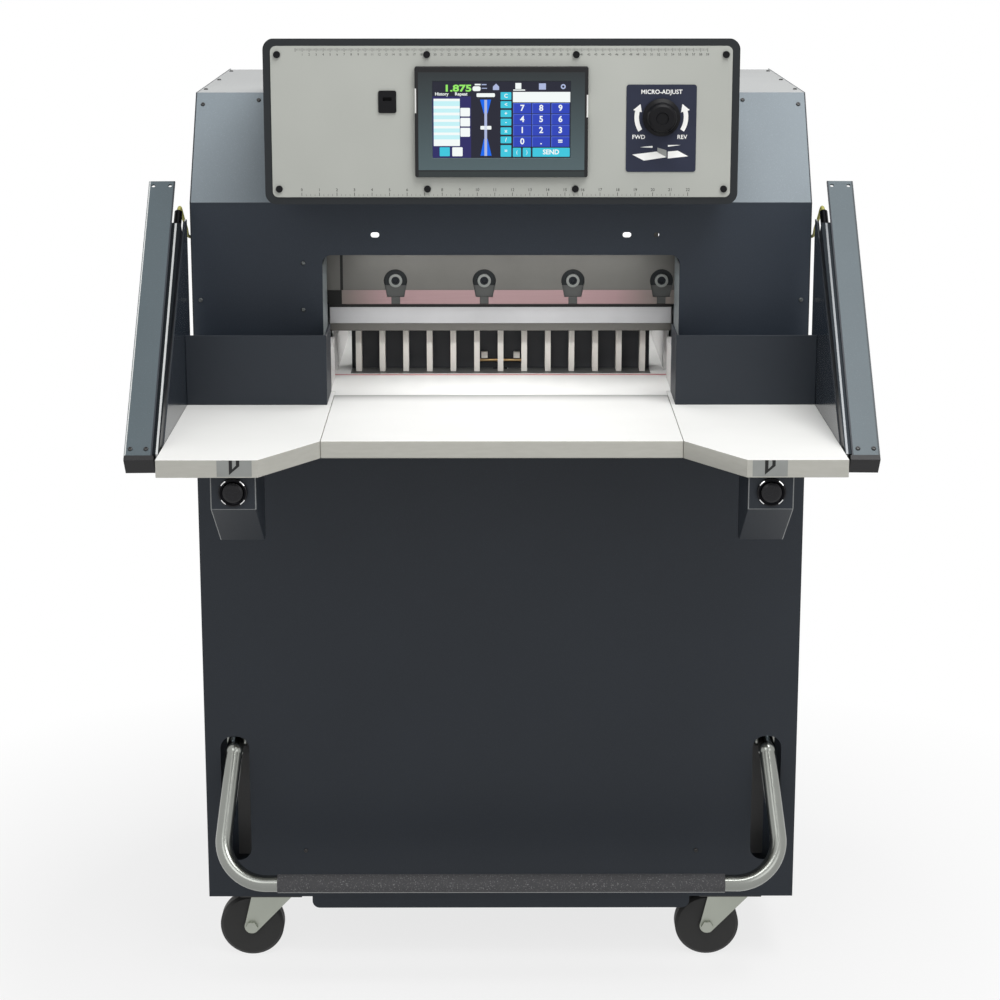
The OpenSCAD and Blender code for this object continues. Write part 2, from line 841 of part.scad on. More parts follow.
module button_boxes() {
    top = z_table - table_t;
    low = top - button_box_h;
    wall = 2.5;
    tail = 72;
    tail_d = 20;
    end = button_front + button_box_d;
    color(DARK) both_sides() difference() {
        along_x([[button_front, top], [button_front, low], [end - tail_d, low - tail],
            [end, low - tail], [end, top]],
            button_x - button_box_w / 2, button_x + button_box_w / 2);
        along_x([[button_front + wall, top + 1], [button_front + wall, low + wall],
            [end - tail_d, low - tail + 2 * wall],
            [end - wall, low - tail + 2 * wall], [end - wall, top + 1]],
            button_x - button_box_w / 2 + wall, button_x + button_box_w / 2 - wall);
        bar_y(button_x, button_z, button_d + 2 * fit_gap, button_front - 1, button_front + 40);
    }
}

module button_bezels() {
    color(STEEL) both_sides() difference() {
        bar_y(button_x, button_z, button_ring_d, button_front - button_lip, button_front);
        bar_y(button_x, button_z, button_d + 2 * fit_gap, button_front - button_lip - 1,
            button_front + 1);
    }
}

module cut_button() {
    color(BLACK) translate([button_x, button_front - button_out, button_z]) rotate([-90, 0, 0])
        rotate_extrude() polygon([[0, 0], [button_d / 2 - 3, 0], [button_d / 2, 2],
            [button_d / 2, button_out + 24],
            [0, button_out + 24]]);
}
module right_cut_button() { cut_button(); }
module left_cut_button() { mirror([1, 0, 0]) cut_button(); }

// Knife

module knife_beam() {
    face_drop = 28;
    face_lean = 3;
    slot_w = stud_d + 2 * fit_gap;
    color(STEEL) difference() {
        union() {
            along_x([[y_beam, beam_bottom + face_drop - beam_low], [y_beam + face_lean, beam_bottom],
                [y_cut - knife_t, beam_bottom], [y_cut - knife_t, z_table + edge_h + blade_h],
                [y_cut, z_table + edge_h + blade_h], [y_cut, beam_top], [y_beam, beam_top]],
                swing - beam_l, swing + beam_l);
            for (x = [swing - beam_l, swing + beam_l - ear_l])
                span([x, y_beam, beam_top - 1], [x + ear_l, y_cut, beam_top + ear_h]);
        }
        for (i = [-1.5:1:1.5])
            translate([swing + i * screw_pitch, 0, recess_z]) keyhole();
        along_y(y_beam - 1, y_cut + 1) for (side = [-1, 1])
            translate([side * stud_x, stud_z]) {
                circle(d = slot_w);
                translate([swing, stroke]) circle(d = slot_w);
                rotate(-slant) translate([-slot_w / 2, 0]) square([slot_w, norm([swing, stroke])]);
            }
    }
}

// Half length of the knife
function knife_half() = cheek_x + 15;

// Recess over a knife screw, with its screw hole and the groove below it
module keyhole() {
    groove_w = 14;
    along_y(y_beam - 1, y_beam + recess_depth) {
        circle(d = recess_d);
        polygon([[-recess_d / 2, 0], [recess_d / 2, 0], [recess_d / 2 - 5, -recess_drop],
            [5 - recess_d / 2, -recess_drop]]);
    }
    along_y(y_beam - 1, y_beam + 5) translate([-groove_w / 2, -recess_drop - 30]) square([groove_w, 31]);
    bar_y(0, 0, screw_d + 1, y_beam, y_cut + 1);
}

module knife() {
    edge = z_table + edge_h;
    bevel = 24;
    color([0.80, 0.78, 0.78]) difference() {
        along_x([[y_cut, edge], [y_cut, edge + blade_h], [y_cut - knife_t, edge + blade_h],
            [y_cut - knife_t, edge + bevel]],
            swing - knife_half(), swing + knife_half());
        for (i = [-1.5:1:1.5])
            bar_y(swing + i * screw_pitch, recess_z, screw_d + 1, y_cut - knife_t - 1, y_cut + 1);
    }
}

module knife_screws() {
    socket = 10;
    head_l = 6;
    seat = y_beam + recess_depth;
    color(IRON) for (i = [-1.5:1:1.5]) translate([swing + i * screw_pitch, 0, recess_z]) difference() {
        union() {
            bar_y(0, 0, screw_head, seat - head_l, seat);
            bar_y(0, 0, screw_d, seat, y_cut - 1);
        }
        translate([0, seat - 1.5, 0]) rotate([90, 0, 0]) cylinder(h = head_l, d = socket, $fn = 6);
    }
}

// Frame whose Z runs up the knife's slanted path from the top of the knife beam
module knife_path() {
    translate([swing, (y_beam + y_cut) / 2, beam_top]) rotate([0, slant, 0]) children();
}
knife_cyl_l = 172;
piston_l = 10;

module knife_rod() {
    color(STEEL) difference() {
        knife_path() {
            translate([0, 0, -8]) cylinder(h = knife_cyl_l - 14, d = rod_d);
            translate([0, 0, knife_cyl_l - 22]) cylinder(h = piston_l, d = piston_d);
        }
        span([swing - 60, y_beam - 20, beam_top - 40], [swing + 60, y_cut + 20, beam_top]);
    }
}

module knife_cylinder() {
    base_t = 8;
    base_x = 75;
    mid = swing + (z_bridge - beam_top) * tan(slant);
    color(IRON) difference() {
        union() {
            span([mid - base_x, y_beam - 12, z_bridge], [mid + base_x, y_cross + 50, z_bridge + base_t]);
            intersection() {
                knife_path() cylinder(h = knife_cyl_l, d = cyl_d);
                span([mid - 200, y_beam - 100, z_bridge], [mid + 200, y_cut + 100, z_bridge + 400]);
            }
        }
        knife_path() {
            translate([0, 0, -10]) cylinder(h = knife_cyl_l, d = rod_d + 2 * fit_gap);
            translate([0, 0, 26 + z_bridge - beam_top - 12]) cylinder(
                h = knife_cyl_l - 30 - (z_bridge - beam_top - 12), d = piston_d + 2 * fit_gap);
        }
    }
}

// Clamp

module clamp_beam() {
    low = z_table + clamp_open;
    color(STEEL) difference() {
        along_x([[y_clamp + clamp_lip, low], [y_clamp + clamp_lip, low + clamp_step],
            [y_clamp, low + clamp_step],
            [y_clamp, low + clamp_h], [y_clamp + clamp_d, low + clamp_h], [y_clamp + clamp_d, low]],
                -clamp_x, clamp_x);
        for (i = [-(finger_n - 1) / 2:(finger_n - 1) / 2])
            span([i * finger_pitch - finger_w / 2 - slot_gap, y_clamp + 16, low - 1],
                [i * finger_pitch + finger_w / 2 + slot_gap, y_clamp + clamp_d + 1, low + clamp_slot_h]);
    }
}
clamp_cyl_l = 125;
clamp_top = z_table + clamp_open + clamp_h;

module clamp_rods() {
    y = y_clamp + clamp_d / 2;
    color(STEEL) for (side = [-1, 1]) {
        bar_z_axis(side * clamp_cyl_x, y, rod_d, clamp_top, z_bridge + clamp_cyl_l - 12);
        bar_z_axis(side * clamp_cyl_x, y, piston_d, z_bridge + clamp_cyl_l - 22,
            z_bridge + clamp_cyl_l - 12);
    }
}

module clamp_cylinders() {
    y = y_clamp + clamp_d / 2;
    gland = 8;
    color(IRON) for (side = [-1, 1]) difference() {
        bar_z_axis(side * clamp_cyl_x, y, clamp_cyl_d, z_bridge, z_bridge + clamp_cyl_l);
        bar_z_axis(side * clamp_cyl_x, y, rod_d + 2 * fit_gap, z_bridge - 1, z_bridge + gland + 1);
        bar_z_axis(side * clamp_cyl_x, y, piston_d + 2 * fit_gap, z_bridge + gland,
            z_bridge + clamp_cyl_l - 5);
    }
}

// Back gauge

module back_gauge() {
    low = z_table + gauge_lift;
    high = z_table + gauge_h;
    nut_w = 44;
    nut_h = 34;
    pin_lug = 10;
    pin_lug_x = 26;
    pin_lug_z = 18;
    color(STEEL) difference() {
        union() {
            span([-gauge_x, gauge_back, low], [gauge_x, gauge_back + gauge_beam_d, high]);
            for (i = [-(finger_n - 1) / 2:(finger_n - 1) / 2])
                span([i * finger_pitch - finger_w / 2, y_cut + gauge_y, low],
                    [i * finger_pitch + finger_w / 2, gauge_back, high]);
            for (side = [-1, 1])
                span([side * pin_lug_x - pin_lug / 2, gauge_back - pin_lug, z_table + pin_lug_z],
                    [side * pin_lug_x + pin_lug / 2, gauge_back + 1, z_table + pin_lug_z + pin_lug]);
            span([-nut_slot / 2, nut_y - nut_l / 2, z_lead], [nut_slot / 2, nut_y + nut_l / 2, low + 1]);
            span([-nut_w / 2, nut_y - nut_l / 2, z_lead - nut_h / 2],
                [nut_w / 2, nut_y + nut_l / 2, z_lead + nut_h / 2]);
        }
        bar_y(0, z_lead, lead_d + 2 * fit_gap, nut_y - nut_l, nut_y + nut_l);
    }
}

// Brass pin across two gauge fingers
module gauge_pin() {
    pin_d = 5;
    pin_z = z_table + 14;
    pin_end = finger_pitch - finger_w / 2;
    y = gauge_back - pin_d;
    color([0.72, 0.55, 0.25]) both_sides() bar_x(y, pin_z, pin_d, finger_w / 2, pin_end);
}

module lead_screw() {
    color(STEEL) bar_y(0, z_lead, lead_d, lead_y0 - 6, lead_y1);
}

// Bearings of the lead screw and the motor on the front one
module gauge_drive() {
    block_w = 60;
    low = z_lead - 22;
    color(IRON) for (y = [lead_y0, lead_y1 - lead_block_t]) difference() {
        span([-block_w / 2, y, low], [block_w / 2, y + lead_block_t, z_table - bed_t]);
        bar_y(0, z_lead, lead_d + 2 * fit_gap, y - 1, y + lead_block_t + 1);
    }
    motor_w = 58;
    motor_l = 60;
    front = lead_y0 - 7 - motor_l;
    color(BLACK) {
        span([-motor_w / 2, front, z_lead - motor_w / 2],
            [motor_w / 2, lead_y0 - 7, z_lead + motor_w / 2]);
        for (sx = [-1, 1])
            span([sx * (motor_w / 2 - 4) - 3, lead_y0 - 7, z_lead - 20],
                [sx * (motor_w / 2 - 4) + 3, lead_y0, z_lead + 20]);
    }
}

// Hydraulic unit

tank_d = 230;
tank_in = 190;
tank_h = 190;
tank_y = y_body + tank_in;
z_tank = base_h + bar_h;
z_tank_top = z_tank + tank_h;

module oil_tank() {
    color(IRON) span([-tank_l / 2, tank_y, z_tank], [tank_l / 2, tank_y + tank_d, z_tank_top]);
}

module pump_motor() {
    y = tank_y + tank_d / 2;
    foot_h = 10;
    end_in = 40;
    foot_in = 60;
    color([0.24, 0.30, 0.38]) {
        bar_x(y, z_tank_top + foot_h + motor_d / 2, motor_d, end_in - tank_l / 2, tank_l / 2 - end_in);
        span([foot_in - tank_l / 2, y - motor_d / 2, z_tank_top],
            [tank_l / 2 - foot_in, y + motor_d / 2, z_tank_top + motor_d / 2]);
    }
}

module power_inlet() {
    inlet_w = 50;
    inlet_h = 34;
    z = base_h + 60;
    x = x_in - 140;
    color(BLACK) difference() {
        along_y(y_back, y_back + 8) translate([x, z]) round_rect(inlet_w, inlet_h, 4);
        along_y(y_back + 2, y_back + 9) translate([x, z]) round_rect(inlet_w - 20, inlet_h - 12, 3);
    }
}

// Foot bar

module foot_bar() {
    tilt = atan2(elbow_y - bar_y, elbow_z - bar_z);
    color(ZINC) {
        both_sides() translate([arm_x - bend_r, bar_y, bar_z]) rotate([-tilt, 0, 0])
            translate([0, 0, bend_r]) {
            rotate([90, 0, 0]) rotate(-90) rotate_extrude(angle = 90 + splay)
                translate([bend_r, 0]) circle(d = tube_d + bend_swell);
            rotate([0, -splay, 0]) translate([bend_r, 0, 0]) {
                cylinder(h = arm_l, d = tube_d);
                translate([0, 0, arm_l]) sphere(d = tube_d + weld);
            }
        }
        difference() {
            bar_x(bar_y, bar_z, tube_d, -arm_x + bend_r, arm_x - bend_r);
            bar_x(bar_y, bar_z, tube_d - 2 * tube_wall, -grip_l / 2, grip_l / 2);
        }
        both_sides() arm_back();
        bar_x(pivot_y, pivot_z, pivot_d, -elbow_x, elbow_x);
    }
}

// Short arm from the elbow at the slot to a hub on the pivot shaft
module arm_back() {
    run = norm([pivot_y - elbow_y, pivot_z - elbow_z]);
    translate([elbow_x, elbow_y, elbow_z]) rotate([-atan2(pivot_y - elbow_y, pivot_z - elbow_z), 0, 0])
        cylinder(h = run, d = tube_d);
    bar_x(pivot_y, pivot_z, hub_d, elbow_x - hub_l / 2, elbow_x + hub_l / 2);
}

module foot_grip() {
    color(BLACK) difference() {
        bar_x(bar_y, bar_z, grip_d, -grip_l / 2, grip_l / 2);
        bar_x(bar_y, bar_z, tube_d, -grip_l / 2 - 1, grip_l / 2 + 1);
    }
}

// Blocks on the side frames that carry the foot bar's pivot shaft
module foot_bearings() {
    block_w = 40;
    block_h = 50;
    front = pivot_y - 22;
    color(IRON) both_sides() difference() {
        span([x_frame - block_w, front, pivot_z - block_h / 2],
            [x_frame, frame_y0 + 30, pivot_z + block_h / 2]);
        bar_x(pivot_y, pivot_z, pivot_d + 2 * fit_gap, x_frame - block_w - 1, x_frame + 1);
    }
}

// Casters, drawn about the swivel axis with the wheel trailing along -X

module caster_fork(reach) {
    axle_z = wheel_d / 2;
    crown_low = fork_top - race_h - crown_t;
    leg_in = wheel_w / 2 + leg_gap;
    head_l = 6;
    color(ZINC) {
        bar_z_axis(0, 0, 52, crown_low, fork_top);
        bar_z_axis(0, 0, kingpin_d, crown_low, base_h - 1);
        span([-34, -leg_in - leg_t, crown_low], [34, leg_in + leg_t, crown_low + crown_t]);
        for (side = [-1, 1])
            translate([0, side * (leg_in + leg_t / 2), 0]) rotate([90, 0, 0])
                linear_extrude(leg_t, center = true) {
                    polygon([[-34, crown_low + 1], [34, crown_low + 1],
                        [leg_r * 0.8 - reach, axle_z - leg_r * 0.6],
                        [-leg_r - reach, axle_z]]);
                    translate([-reach, axle_z]) circle(leg_r);
                }
    }
    color(STEEL) {
        bar_y(-reach, axle_z, axle_d, -leg_in - leg_t, leg_in + leg_t);
        for (side = [-1, 1])
            translate([-reach, side * (leg_in + leg_t + head_l / 2), axle_z]) rotate([90, 0, 0])
                cylinder(h = head_l, d = axle_d + 8, $fn = 6, center = true);
    }
}

module caster_wheel() {
    r = wheel_d / 2;
    edge = 5;
    hub_r = axle_d / 2 + fit_gap;
    w = wheel_w / 2;
    color(BLACK) rotate([90, 0, 0]) rotate_extrude()
        polygon([[hub_r, -w - leg_gap + 0.5], [hub_r + 8, -w - leg_gap + 0.5],
        [hub_r + 8, -w], [r - edge, -w], [r, edge - w], [r, w - edge], [r - edge, w], [hub_r + 8, w],
        [hub_r + 8, w + leg_gap - 0.5], [hub_r, w + leg_gap - 0.5]]);
}

// Under the frame's front corners
module at_front_swivel(side) {
    translate([side * caster_x, y_body + caster_y, 0]) children();
}

module caster_plates() {
    low = base_h - caster_plate_t;
    color(ZINC) for (side = [-1, 1]) at_front_swivel(side) difference() {
        span([-caster_plate / 2, -caster_plate * 0.45, low],
            [caster_plate / 2, caster_plate * 0.45, base_h]);
        bar_z_axis(0, 0, kingpin_d + 2 * fit_gap, low - 1, base_h + 1);
    }
}

module left_fork() { at_front_swivel(-1) caster_fork(trail); }
module right_fork() { at_front_swivel(1) caster_fork(trail); }
module front_left_wheel() { at_front_swivel(-1) translate([-trail, 0, wheel_d / 2]) caster_wheel(); }
module front_right_wheel() { at_front_swivel(1) translate([-trail, 0, wheel_d / 2]) caster_wheel(); }

// Rigid casters under the frame's rear corners
module at_rear(side) {
    translate([side * rear_caster_x, rear_caster_y, 0]) rotate([0, 0, 90]) children();
}

module rear_forks() {
    for (side = [-1, 1]) at_rear(side) {
        caster_fork(0);
        color(ZINC) span([-caster_plate * 0.45, -caster_plate / 2, base_h - caster_plate_t],
            [caster_plate * 0.45, caster_plate / 2, base_h]);
    }
}

module rear_left_wheel() { at_rear(-1) translate([0, 0, wheel_d / 2]) caster_wheel(); }
module rear_right_wheel() { at_rear(1) translate([0, 0, wheel_d / 2]) caster_wheel(); }

base_frame();
base_apron();
cabinet_front();
side_covers();
rear_cover();
head_front_cover();
top_cover();
side_frames();
crosshead();
guide_studs();
lamps();
bed();
cutting_stick();
front_table();
side_tables();
table_brackets();
guards();
side_lays();
control_box();
control_panel();
panel_screws();
screen_bezel();
screen_glass();
dial_plate();
data_socket();
micro_knob();
columns();
light_bars();
side_plates();
sensor_cables();
button_boxes();
button_bezels();
left_cut_button();
right_cut_button();
knife_beam();
knife();
knife_screws();
knife_rod();
knife_cylinder();
clamp_beam();
clamp_rods();
clamp_cylinders();
back_gauge();
gauge_pin();
lead_screw();
gauge_drive();
oil_tank();
pump_motor();
power_inlet();
foot_bar();
foot_grip();
foot_bearings();
caster_plates();
left_fork();
right_fork();
rear_forks();
front_left_wheel();
front_right_wheel();
rear_left_wheel();
rear_right_wheel();
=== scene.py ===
# %% [markdown]
# A floor-standing paper cutter, dressed for its portrait.
# The solids arrive as a fixed frame. This lesson gives each of them a finish, and adds what
# solids leave out: rounded edges, screws, printed rulers, a lit screen, tape and a filter mat.

# %% Load the frame
import json
import math

import bmesh
import bpy
from mathutils import Matrix, Vector


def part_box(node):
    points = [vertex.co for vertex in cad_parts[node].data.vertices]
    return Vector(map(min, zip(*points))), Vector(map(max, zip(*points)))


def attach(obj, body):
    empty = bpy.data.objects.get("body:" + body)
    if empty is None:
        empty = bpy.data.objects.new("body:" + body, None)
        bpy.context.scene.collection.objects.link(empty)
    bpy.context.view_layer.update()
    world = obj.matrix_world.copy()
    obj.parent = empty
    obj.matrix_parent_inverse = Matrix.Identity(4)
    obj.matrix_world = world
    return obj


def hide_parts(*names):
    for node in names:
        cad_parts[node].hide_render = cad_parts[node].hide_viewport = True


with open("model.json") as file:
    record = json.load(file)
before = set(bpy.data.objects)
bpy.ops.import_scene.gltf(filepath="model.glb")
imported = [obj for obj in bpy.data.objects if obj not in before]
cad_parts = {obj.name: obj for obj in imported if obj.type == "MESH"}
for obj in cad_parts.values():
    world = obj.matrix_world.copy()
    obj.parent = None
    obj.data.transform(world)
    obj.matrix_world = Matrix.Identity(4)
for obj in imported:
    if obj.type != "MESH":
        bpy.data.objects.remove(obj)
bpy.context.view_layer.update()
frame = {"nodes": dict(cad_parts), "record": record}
NODES = frame["nodes"]
NODE_BODY = {node: body for body, nodes in frame["record"]["behaviour"]["bodies"].items() for node in nodes}
MM = 0.001

# %% [markdown]
# The camera stands where the photographer stood: four metres away, a little above the control
# box and tilted down. The long lens keeps the uprights nearly parallel.

# %% Camera
CAMERA_AT = (-0.0143, -3.945, 1.711)
CAMERA_TILT, CAMERA_TURN = 76.4, -0.19
LENS = 91.5
camera_data = bpy.data.cameras.new("portrait")
camera_data.lens = LENS
camera_data.sensor_width = 36
camera = bpy.data.objects.new("portrait", camera_data)
camera.location = CAMERA_AT
camera.rotation_euler = (math.radians(CAMERA_TILT), 0, math.radians(CAMERA_TURN))
scene = bpy.context.scene
scene.collection.objects.link(camera)
scene.camera = camera
scene.view_settings.view_transform = "Standard"
print("lens:", LENS, "mm")

# %% [markdown]
# Finishes are node graphs. Many math nodes would hide what they do, so a small class lets the
# output of a node be added and compared like a number.


# %% Sockets as numbers
class Socket:
    """An output of a node, for use in sums."""

    def __init__(self, graph, socket):
        self.graph = graph
        self.socket = socket

    def math(self, operation, other, reflected=False):
        pair = (other, self) if reflected else (self, other)
        return self.graph.add("ShaderNodeMath", {"operation": operation}, dict(enumerate(pair)))

    def __add__(self, other):
        return self.math("ADD", other)

    def __sub__(self, other):
        return self.math("SUBTRACT", other)

    def __rsub__(self, other):
        return self.math("SUBTRACT", other, True)

    def __mul__(self, other):
        return self.math("MULTIPLY", other)

    def above(self, level):
        return self.math("GREATER_THAN", level)

    def below(self, level):
        return self.math("LESS_THAN", level)

    def either(self, other):
        return self.math("MAXIMUM", other)

    def size(self):
        return self.math("ABSOLUTE", 0)

    __radd__ = __add__
    __rmul__ = __mul__


print("sums of sockets ready")

# %% [markdown]
# A Graph adds any node in one call, and a Finish is the graph of one material.


# %% Graphs and finishes
class Graph:
    """A node tree that grows by one call per node."""

    def __init__(self, tree):
        self.tree = tree

    def add(self, kind, settings=None, sockets=None, out=0):
        node = self.tree.nodes.new(kind)
        for name, value in (settings or {}).items():
            setattr(node, name, value)
        self.feed(node, sockets or {})
        return Socket(self, node.outputs[out])

    def feed(self, node, sockets):
        for name, value in sockets.items():
            if isinstance(value, Socket):
                self.tree.links.new(value.socket, node.inputs[name])
            else:
                node.inputs[name].default_value = value


class Finish(Graph):
    """A material whose shader is fed by named sockets."""

    def __init__(self, name):
        self.material = bpy.data.materials.new(name)
        self.material.use_nodes = True
        super().__init__(self.material.node_tree)
        self.shader = self.tree.nodes["Principled BSDF"]
        self.place = self.add("ShaderNodeTexCoord", out="Object")

    def noise(self, scale, detail=2.0, stretch=(1, 1, 1)):
        place = self.add("ShaderNodeMapping", None, {"Vector": self.place, "Scale": stretch})
        sockets = {"Vector": place, "Scale": scale, "Detail": detail}
        return self.add("ShaderNodeTexNoise", None, sockets, "Fac")

    def mix(self, share, first, second):
        return self.add("ShaderNodeMix", {"data_type": "RGBA"}, {0: share, 6: first, 7: second}, 2)

    def bump(self, height, strength, depth):
        return self.add("ShaderNodeBump", None, {"Height": height, "Strength": strength, "Distance": depth})

    def ramp(self, value, start, end, low=0.0, high=1.0):
        """Runs from low to high while the value runs from start to end, and stays level beyond."""
        return self.add("ShaderNodeMapRange", None, {"Value": value, 1: start, 2: end, 3: low, 4: high})

    def axis(self, name):
        return self.add("ShaderNodeSeparateXYZ", None, {"Vector": self.place}, name)

    def shade(self, **sockets):
        self.feed(self.shader, {name.replace("_", " "): value for name, value in sockets.items()})
        return self.material


def rgb(red, green, blue):
    return (red, green, blue, 1.0)


def shift(colour, factor):
    return rgb(*(min(1.0, channel * factor) for channel in colour[:3]))


print("graph helpers ready")

# %% [markdown]
# Most of the machine wears one dark blue-grey powder coat. Real powder cures to a fine
# orange peel and catches light as a faint speckle, so small noise drives both the bump and
# the colour, and slow noise keeps the large covers from looking flat.

# %% Powder coat and plastics
CLOUD_SCALE, FLECK_SCALE, PEEL_SCALE = 5, 900, 420
PEEL_DEPTH, GRAIN_DEPTH = 0.4 * MM, 0.3 * MM


def coat_tint(finish, colour, speckle):
    cloud = finish.noise(CLOUD_SCALE, 2)
    tint = finish.mix(cloud, shift(colour, 0.88), shift(colour, 1.12))
    flecks = finish.ramp(finish.noise(FLECK_SCALE, 3), 0.58, 0.75, 0.0, speckle)
    return finish.mix(flecks, tint, shift(colour, 1.9))


def powder_coat(name, colour, rough, speckle=0.5, peel=0.25, zones=()):
    """One coat, with a second colour in each zone. A zone is a mask maker and a colour."""
    finish = Finish(name)
    tint = coat_tint(finish, colour, speckle)
    for mask, other in zones:
        tint = finish.mix(mask(finish), tint, coat_tint(finish, other, speckle))
    gloss = rough + 0.12 * finish.noise(FLECK_SCALE, 3)
    return finish.shade(Base_Color=tint, Roughness=gloss, Specular_IOR_Level=0.3,
                        Normal=finish.bump(finish.noise(PEEL_SCALE, 2), peel, PEEL_DEPTH))


def moulded(name, colour, rough, grain_scale=700, grain=0.12, specular=0.5):
    finish = Finish(name)
    texture = finish.noise(grain_scale, 2)
    tint = finish.mix(finish.noise(30, 2), shift(colour, 0.85), shift(colour, 1.2))
    return finish.shade(Base_Color=tint, Roughness=rough + 0.1 * texture, Specular_IOR_Level=specular,
                        Normal=finish.bump(texture, grain, GRAIN_DEPTH))


print("recipes for paint and plastic ready")

# %% [markdown]
# Some parts show a second tone. Most of it is painted light: the slope of the head painted lighter
# where it meets more light, lighter faces inside the window, painted highlights along edges and
# painted shade on the bed behind the cut. A zone is a test on a point's place, measured from the
# boxes of the solids, so no picture is needed.

# %% Zones of the painted parts
TABLE_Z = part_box("front_table")[1].z
LEAN_Z = TABLE_Z + 292.5 * MM
HEAD_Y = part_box("cabinet_front")[0].y
WINDOW_IN, WINDOW_DROP = 2.5 * MM, 5 * MM
COLUMN_LEAN, COLUMN_SPLAY = math.radians(49.4), math.radians(0.55)
COLUMN_FOOT_Y, COLUMN_FOOT_Z = -515 * MM, TABLE_Z - 5 * MM
COLUMN_W, COLUMN_L = 39 * MM, 514 * MM
COLUMN_DRIFT = math.tan(COLUMN_SPLAY)
COLUMN_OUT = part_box("columns")[1].x - COLUMN_L * COLUMN_DRIFT
COLUMN_IN = COLUMN_OUT - COLUMN_W
OUTER_EDGE_W, INNER_EDGE_W = 2.6 * MM, 2.2 * MM
BRIGHT_FROM, BRIGHT_TO = 2.4 * MM, 0.8 * MM
CUT_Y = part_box("knife")[1].y
GAUGE_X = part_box("back_gauge")[1].x
DARK_FROM, DARK_TO = 10 * MM, 92 * MM
BUTTON_LOW, BUTTON_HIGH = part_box("right_cut_button")
BUTTON_X, BUTTON_Z = (BUTTON_LOW.x + BUTTON_HIGH.x) / 2, (BUTTON_LOW.z + BUTTON_HIGH.z) / 2
BOX_LOW, BOX_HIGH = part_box("button_boxes")
BOX_FRONT_H, BOX_TAIL = 50 * MM, 20 * MM
BOX_FOLD = BOX_HIGH.z - BOX_FRONT_H
EDGE_W, FOLD_W = 1.5 * MM, 0.8 * MM


def column_run(finish):
    """Distance up the leaning face of a column, from its foot."""
    rise = math.cos(COLUMN_LEAN) * (finish.axis("Z") - COLUMN_FOOT_Z)
    return rise + math.sin(COLUMN_LEAN) * (finish.axis("Y") - COLUMN_FOOT_Y)


def column_across(finish):
    """Distance from the middle plane, less the splay of the columns."""
    return finish.axis("X").size() - COLUMN_DRIFT * column_run(finish)


# The right half, where the columns carry a painted sheen and the light bars a dimmer painted highlight.
def on_right(finish):
    return finish.axis("X").above(0)


def on_cap(finish):
    return column_run(finish).below(0)


def on_outer_edge(finish):
    return column_across(finish).above(COLUMN_OUT - OUTER_EDGE_W)


def on_bright_edge(finish):
    """A painted highlight along the left column, just inside its outer edge."""
    across = column_across(finish)
    line = across.above(COLUMN_OUT - BRIGHT_FROM) * across.below(COLUMN_OUT - BRIGHT_TO)
    return line * finish.axis("X").below(0)


def on_inner_edge(finish):
    return column_across(finish).below(COLUMN_IN + INNER_EDGE_W)


# The slope of the head, which is painted lighter because light from above falls on it.
def on_lean(finish):
    return finish.axis("Z").above(LEAN_Z)


# Painted light: the faces inside the window, behind the head's front, are lighter than the front.
def on_liner(finish):
    return finish.axis("Y").above(HEAD_Y + WINDOW_IN) * finish.axis("Z").below(LEAN_Z - WINDOW_DROP)


# Painted shade and painted reflection: the bed is dark from just behind the cut to the gauge, where the
# clamp shades it.
def behind_cut(finish):
    behind = finish.axis("Y") - CUT_Y
    return behind.above(DARK_FROM) * behind.below(DARK_TO) * finish.axis("X").size().below(GAUGE_X)


def on_box_edge(finish):
    """Painted highlights on the side edges of a button box's front, the fold below it and the outer edge of
    the slope.
    """
    y, z = finish.axis("Y"), finish.axis("Z")
    across = finish.axis("X").size() - BUTTON_X
    half = BOX_HIGH.x - BUTTON_X
    slope = math.atan2(BOX_FOLD - BOX_LOW.z, BOX_HIGH.y - BOX_TAIL - BOX_LOW.y)
    off_slope = math.cos(slope) * (z - BOX_FOLD) + math.sin(slope) * (y - BOX_LOW.y)
    front = y.below(BOX_LOW.y + EDGE_W) * z.above(BOX_FOLD)
    sides = front * across.size().above(half - EDGE_W)
    fold = front * z.below(BOX_FOLD + FOLD_W)
    outer = across.above(half - EDGE_W) * off_slope.below(EDGE_W) * z.below(BOX_FOLD)
    return sides.either(fold).either(outer)


print("columns reach from", round(COLUMN_IN, 4), "to", round(COLUMN_OUT, 4))

# %% [markdown]
# One call makes one paint or plastic. Colours are linear shares of red, green and blue.

# %% Painted and moulded parts
COAT_COLOUR = rgb(0.0165, 0.0212, 0.0285)
COAT_BLACK = rgb(0.006, 0.006, 0.007)
COAT = powder_coat("dark_powder_coat", COAT_COLOUR, 0.42)
# Painted light: the head wears a lighter copy of the cabinet's coat, and its slope above the lean a much
# paler one, as light from above falls on it.
HEAD_COLOUR = rgb(0.0235, 0.0315, 0.0445)
COAT_HEAD = powder_coat("head_powder_coat", HEAD_COLOUR, 0.42,
                        zones=[(on_lean, rgb(0.190, 0.225, 0.250)), (on_liner, rgb(0.10, 0.115, 0.12))])
COAT_PLATE = powder_coat("plate_powder_coat", COAT_COLOUR, 0.10, 0.5, 0.06)
COAT_DEEP = powder_coat("deep_powder_coat", rgb(0.0095, 0.0118, 0.0140), 0.42)
# Painted highlight: the edges of the button boxes are lighter.
COAT_BOX = powder_coat("box_powder_coat", COAT_COLOUR, 0.42, zones=[(on_box_edge, rgb(0.22, 0.23, 0.23))])
# Painted light: the top cover is a pale copy of the coat, as strong light from above falls on it.
COAT_TOP_LIT = powder_coat("top_powder_coat", rgb(0.38, 0.39, 0.39), 0.42)
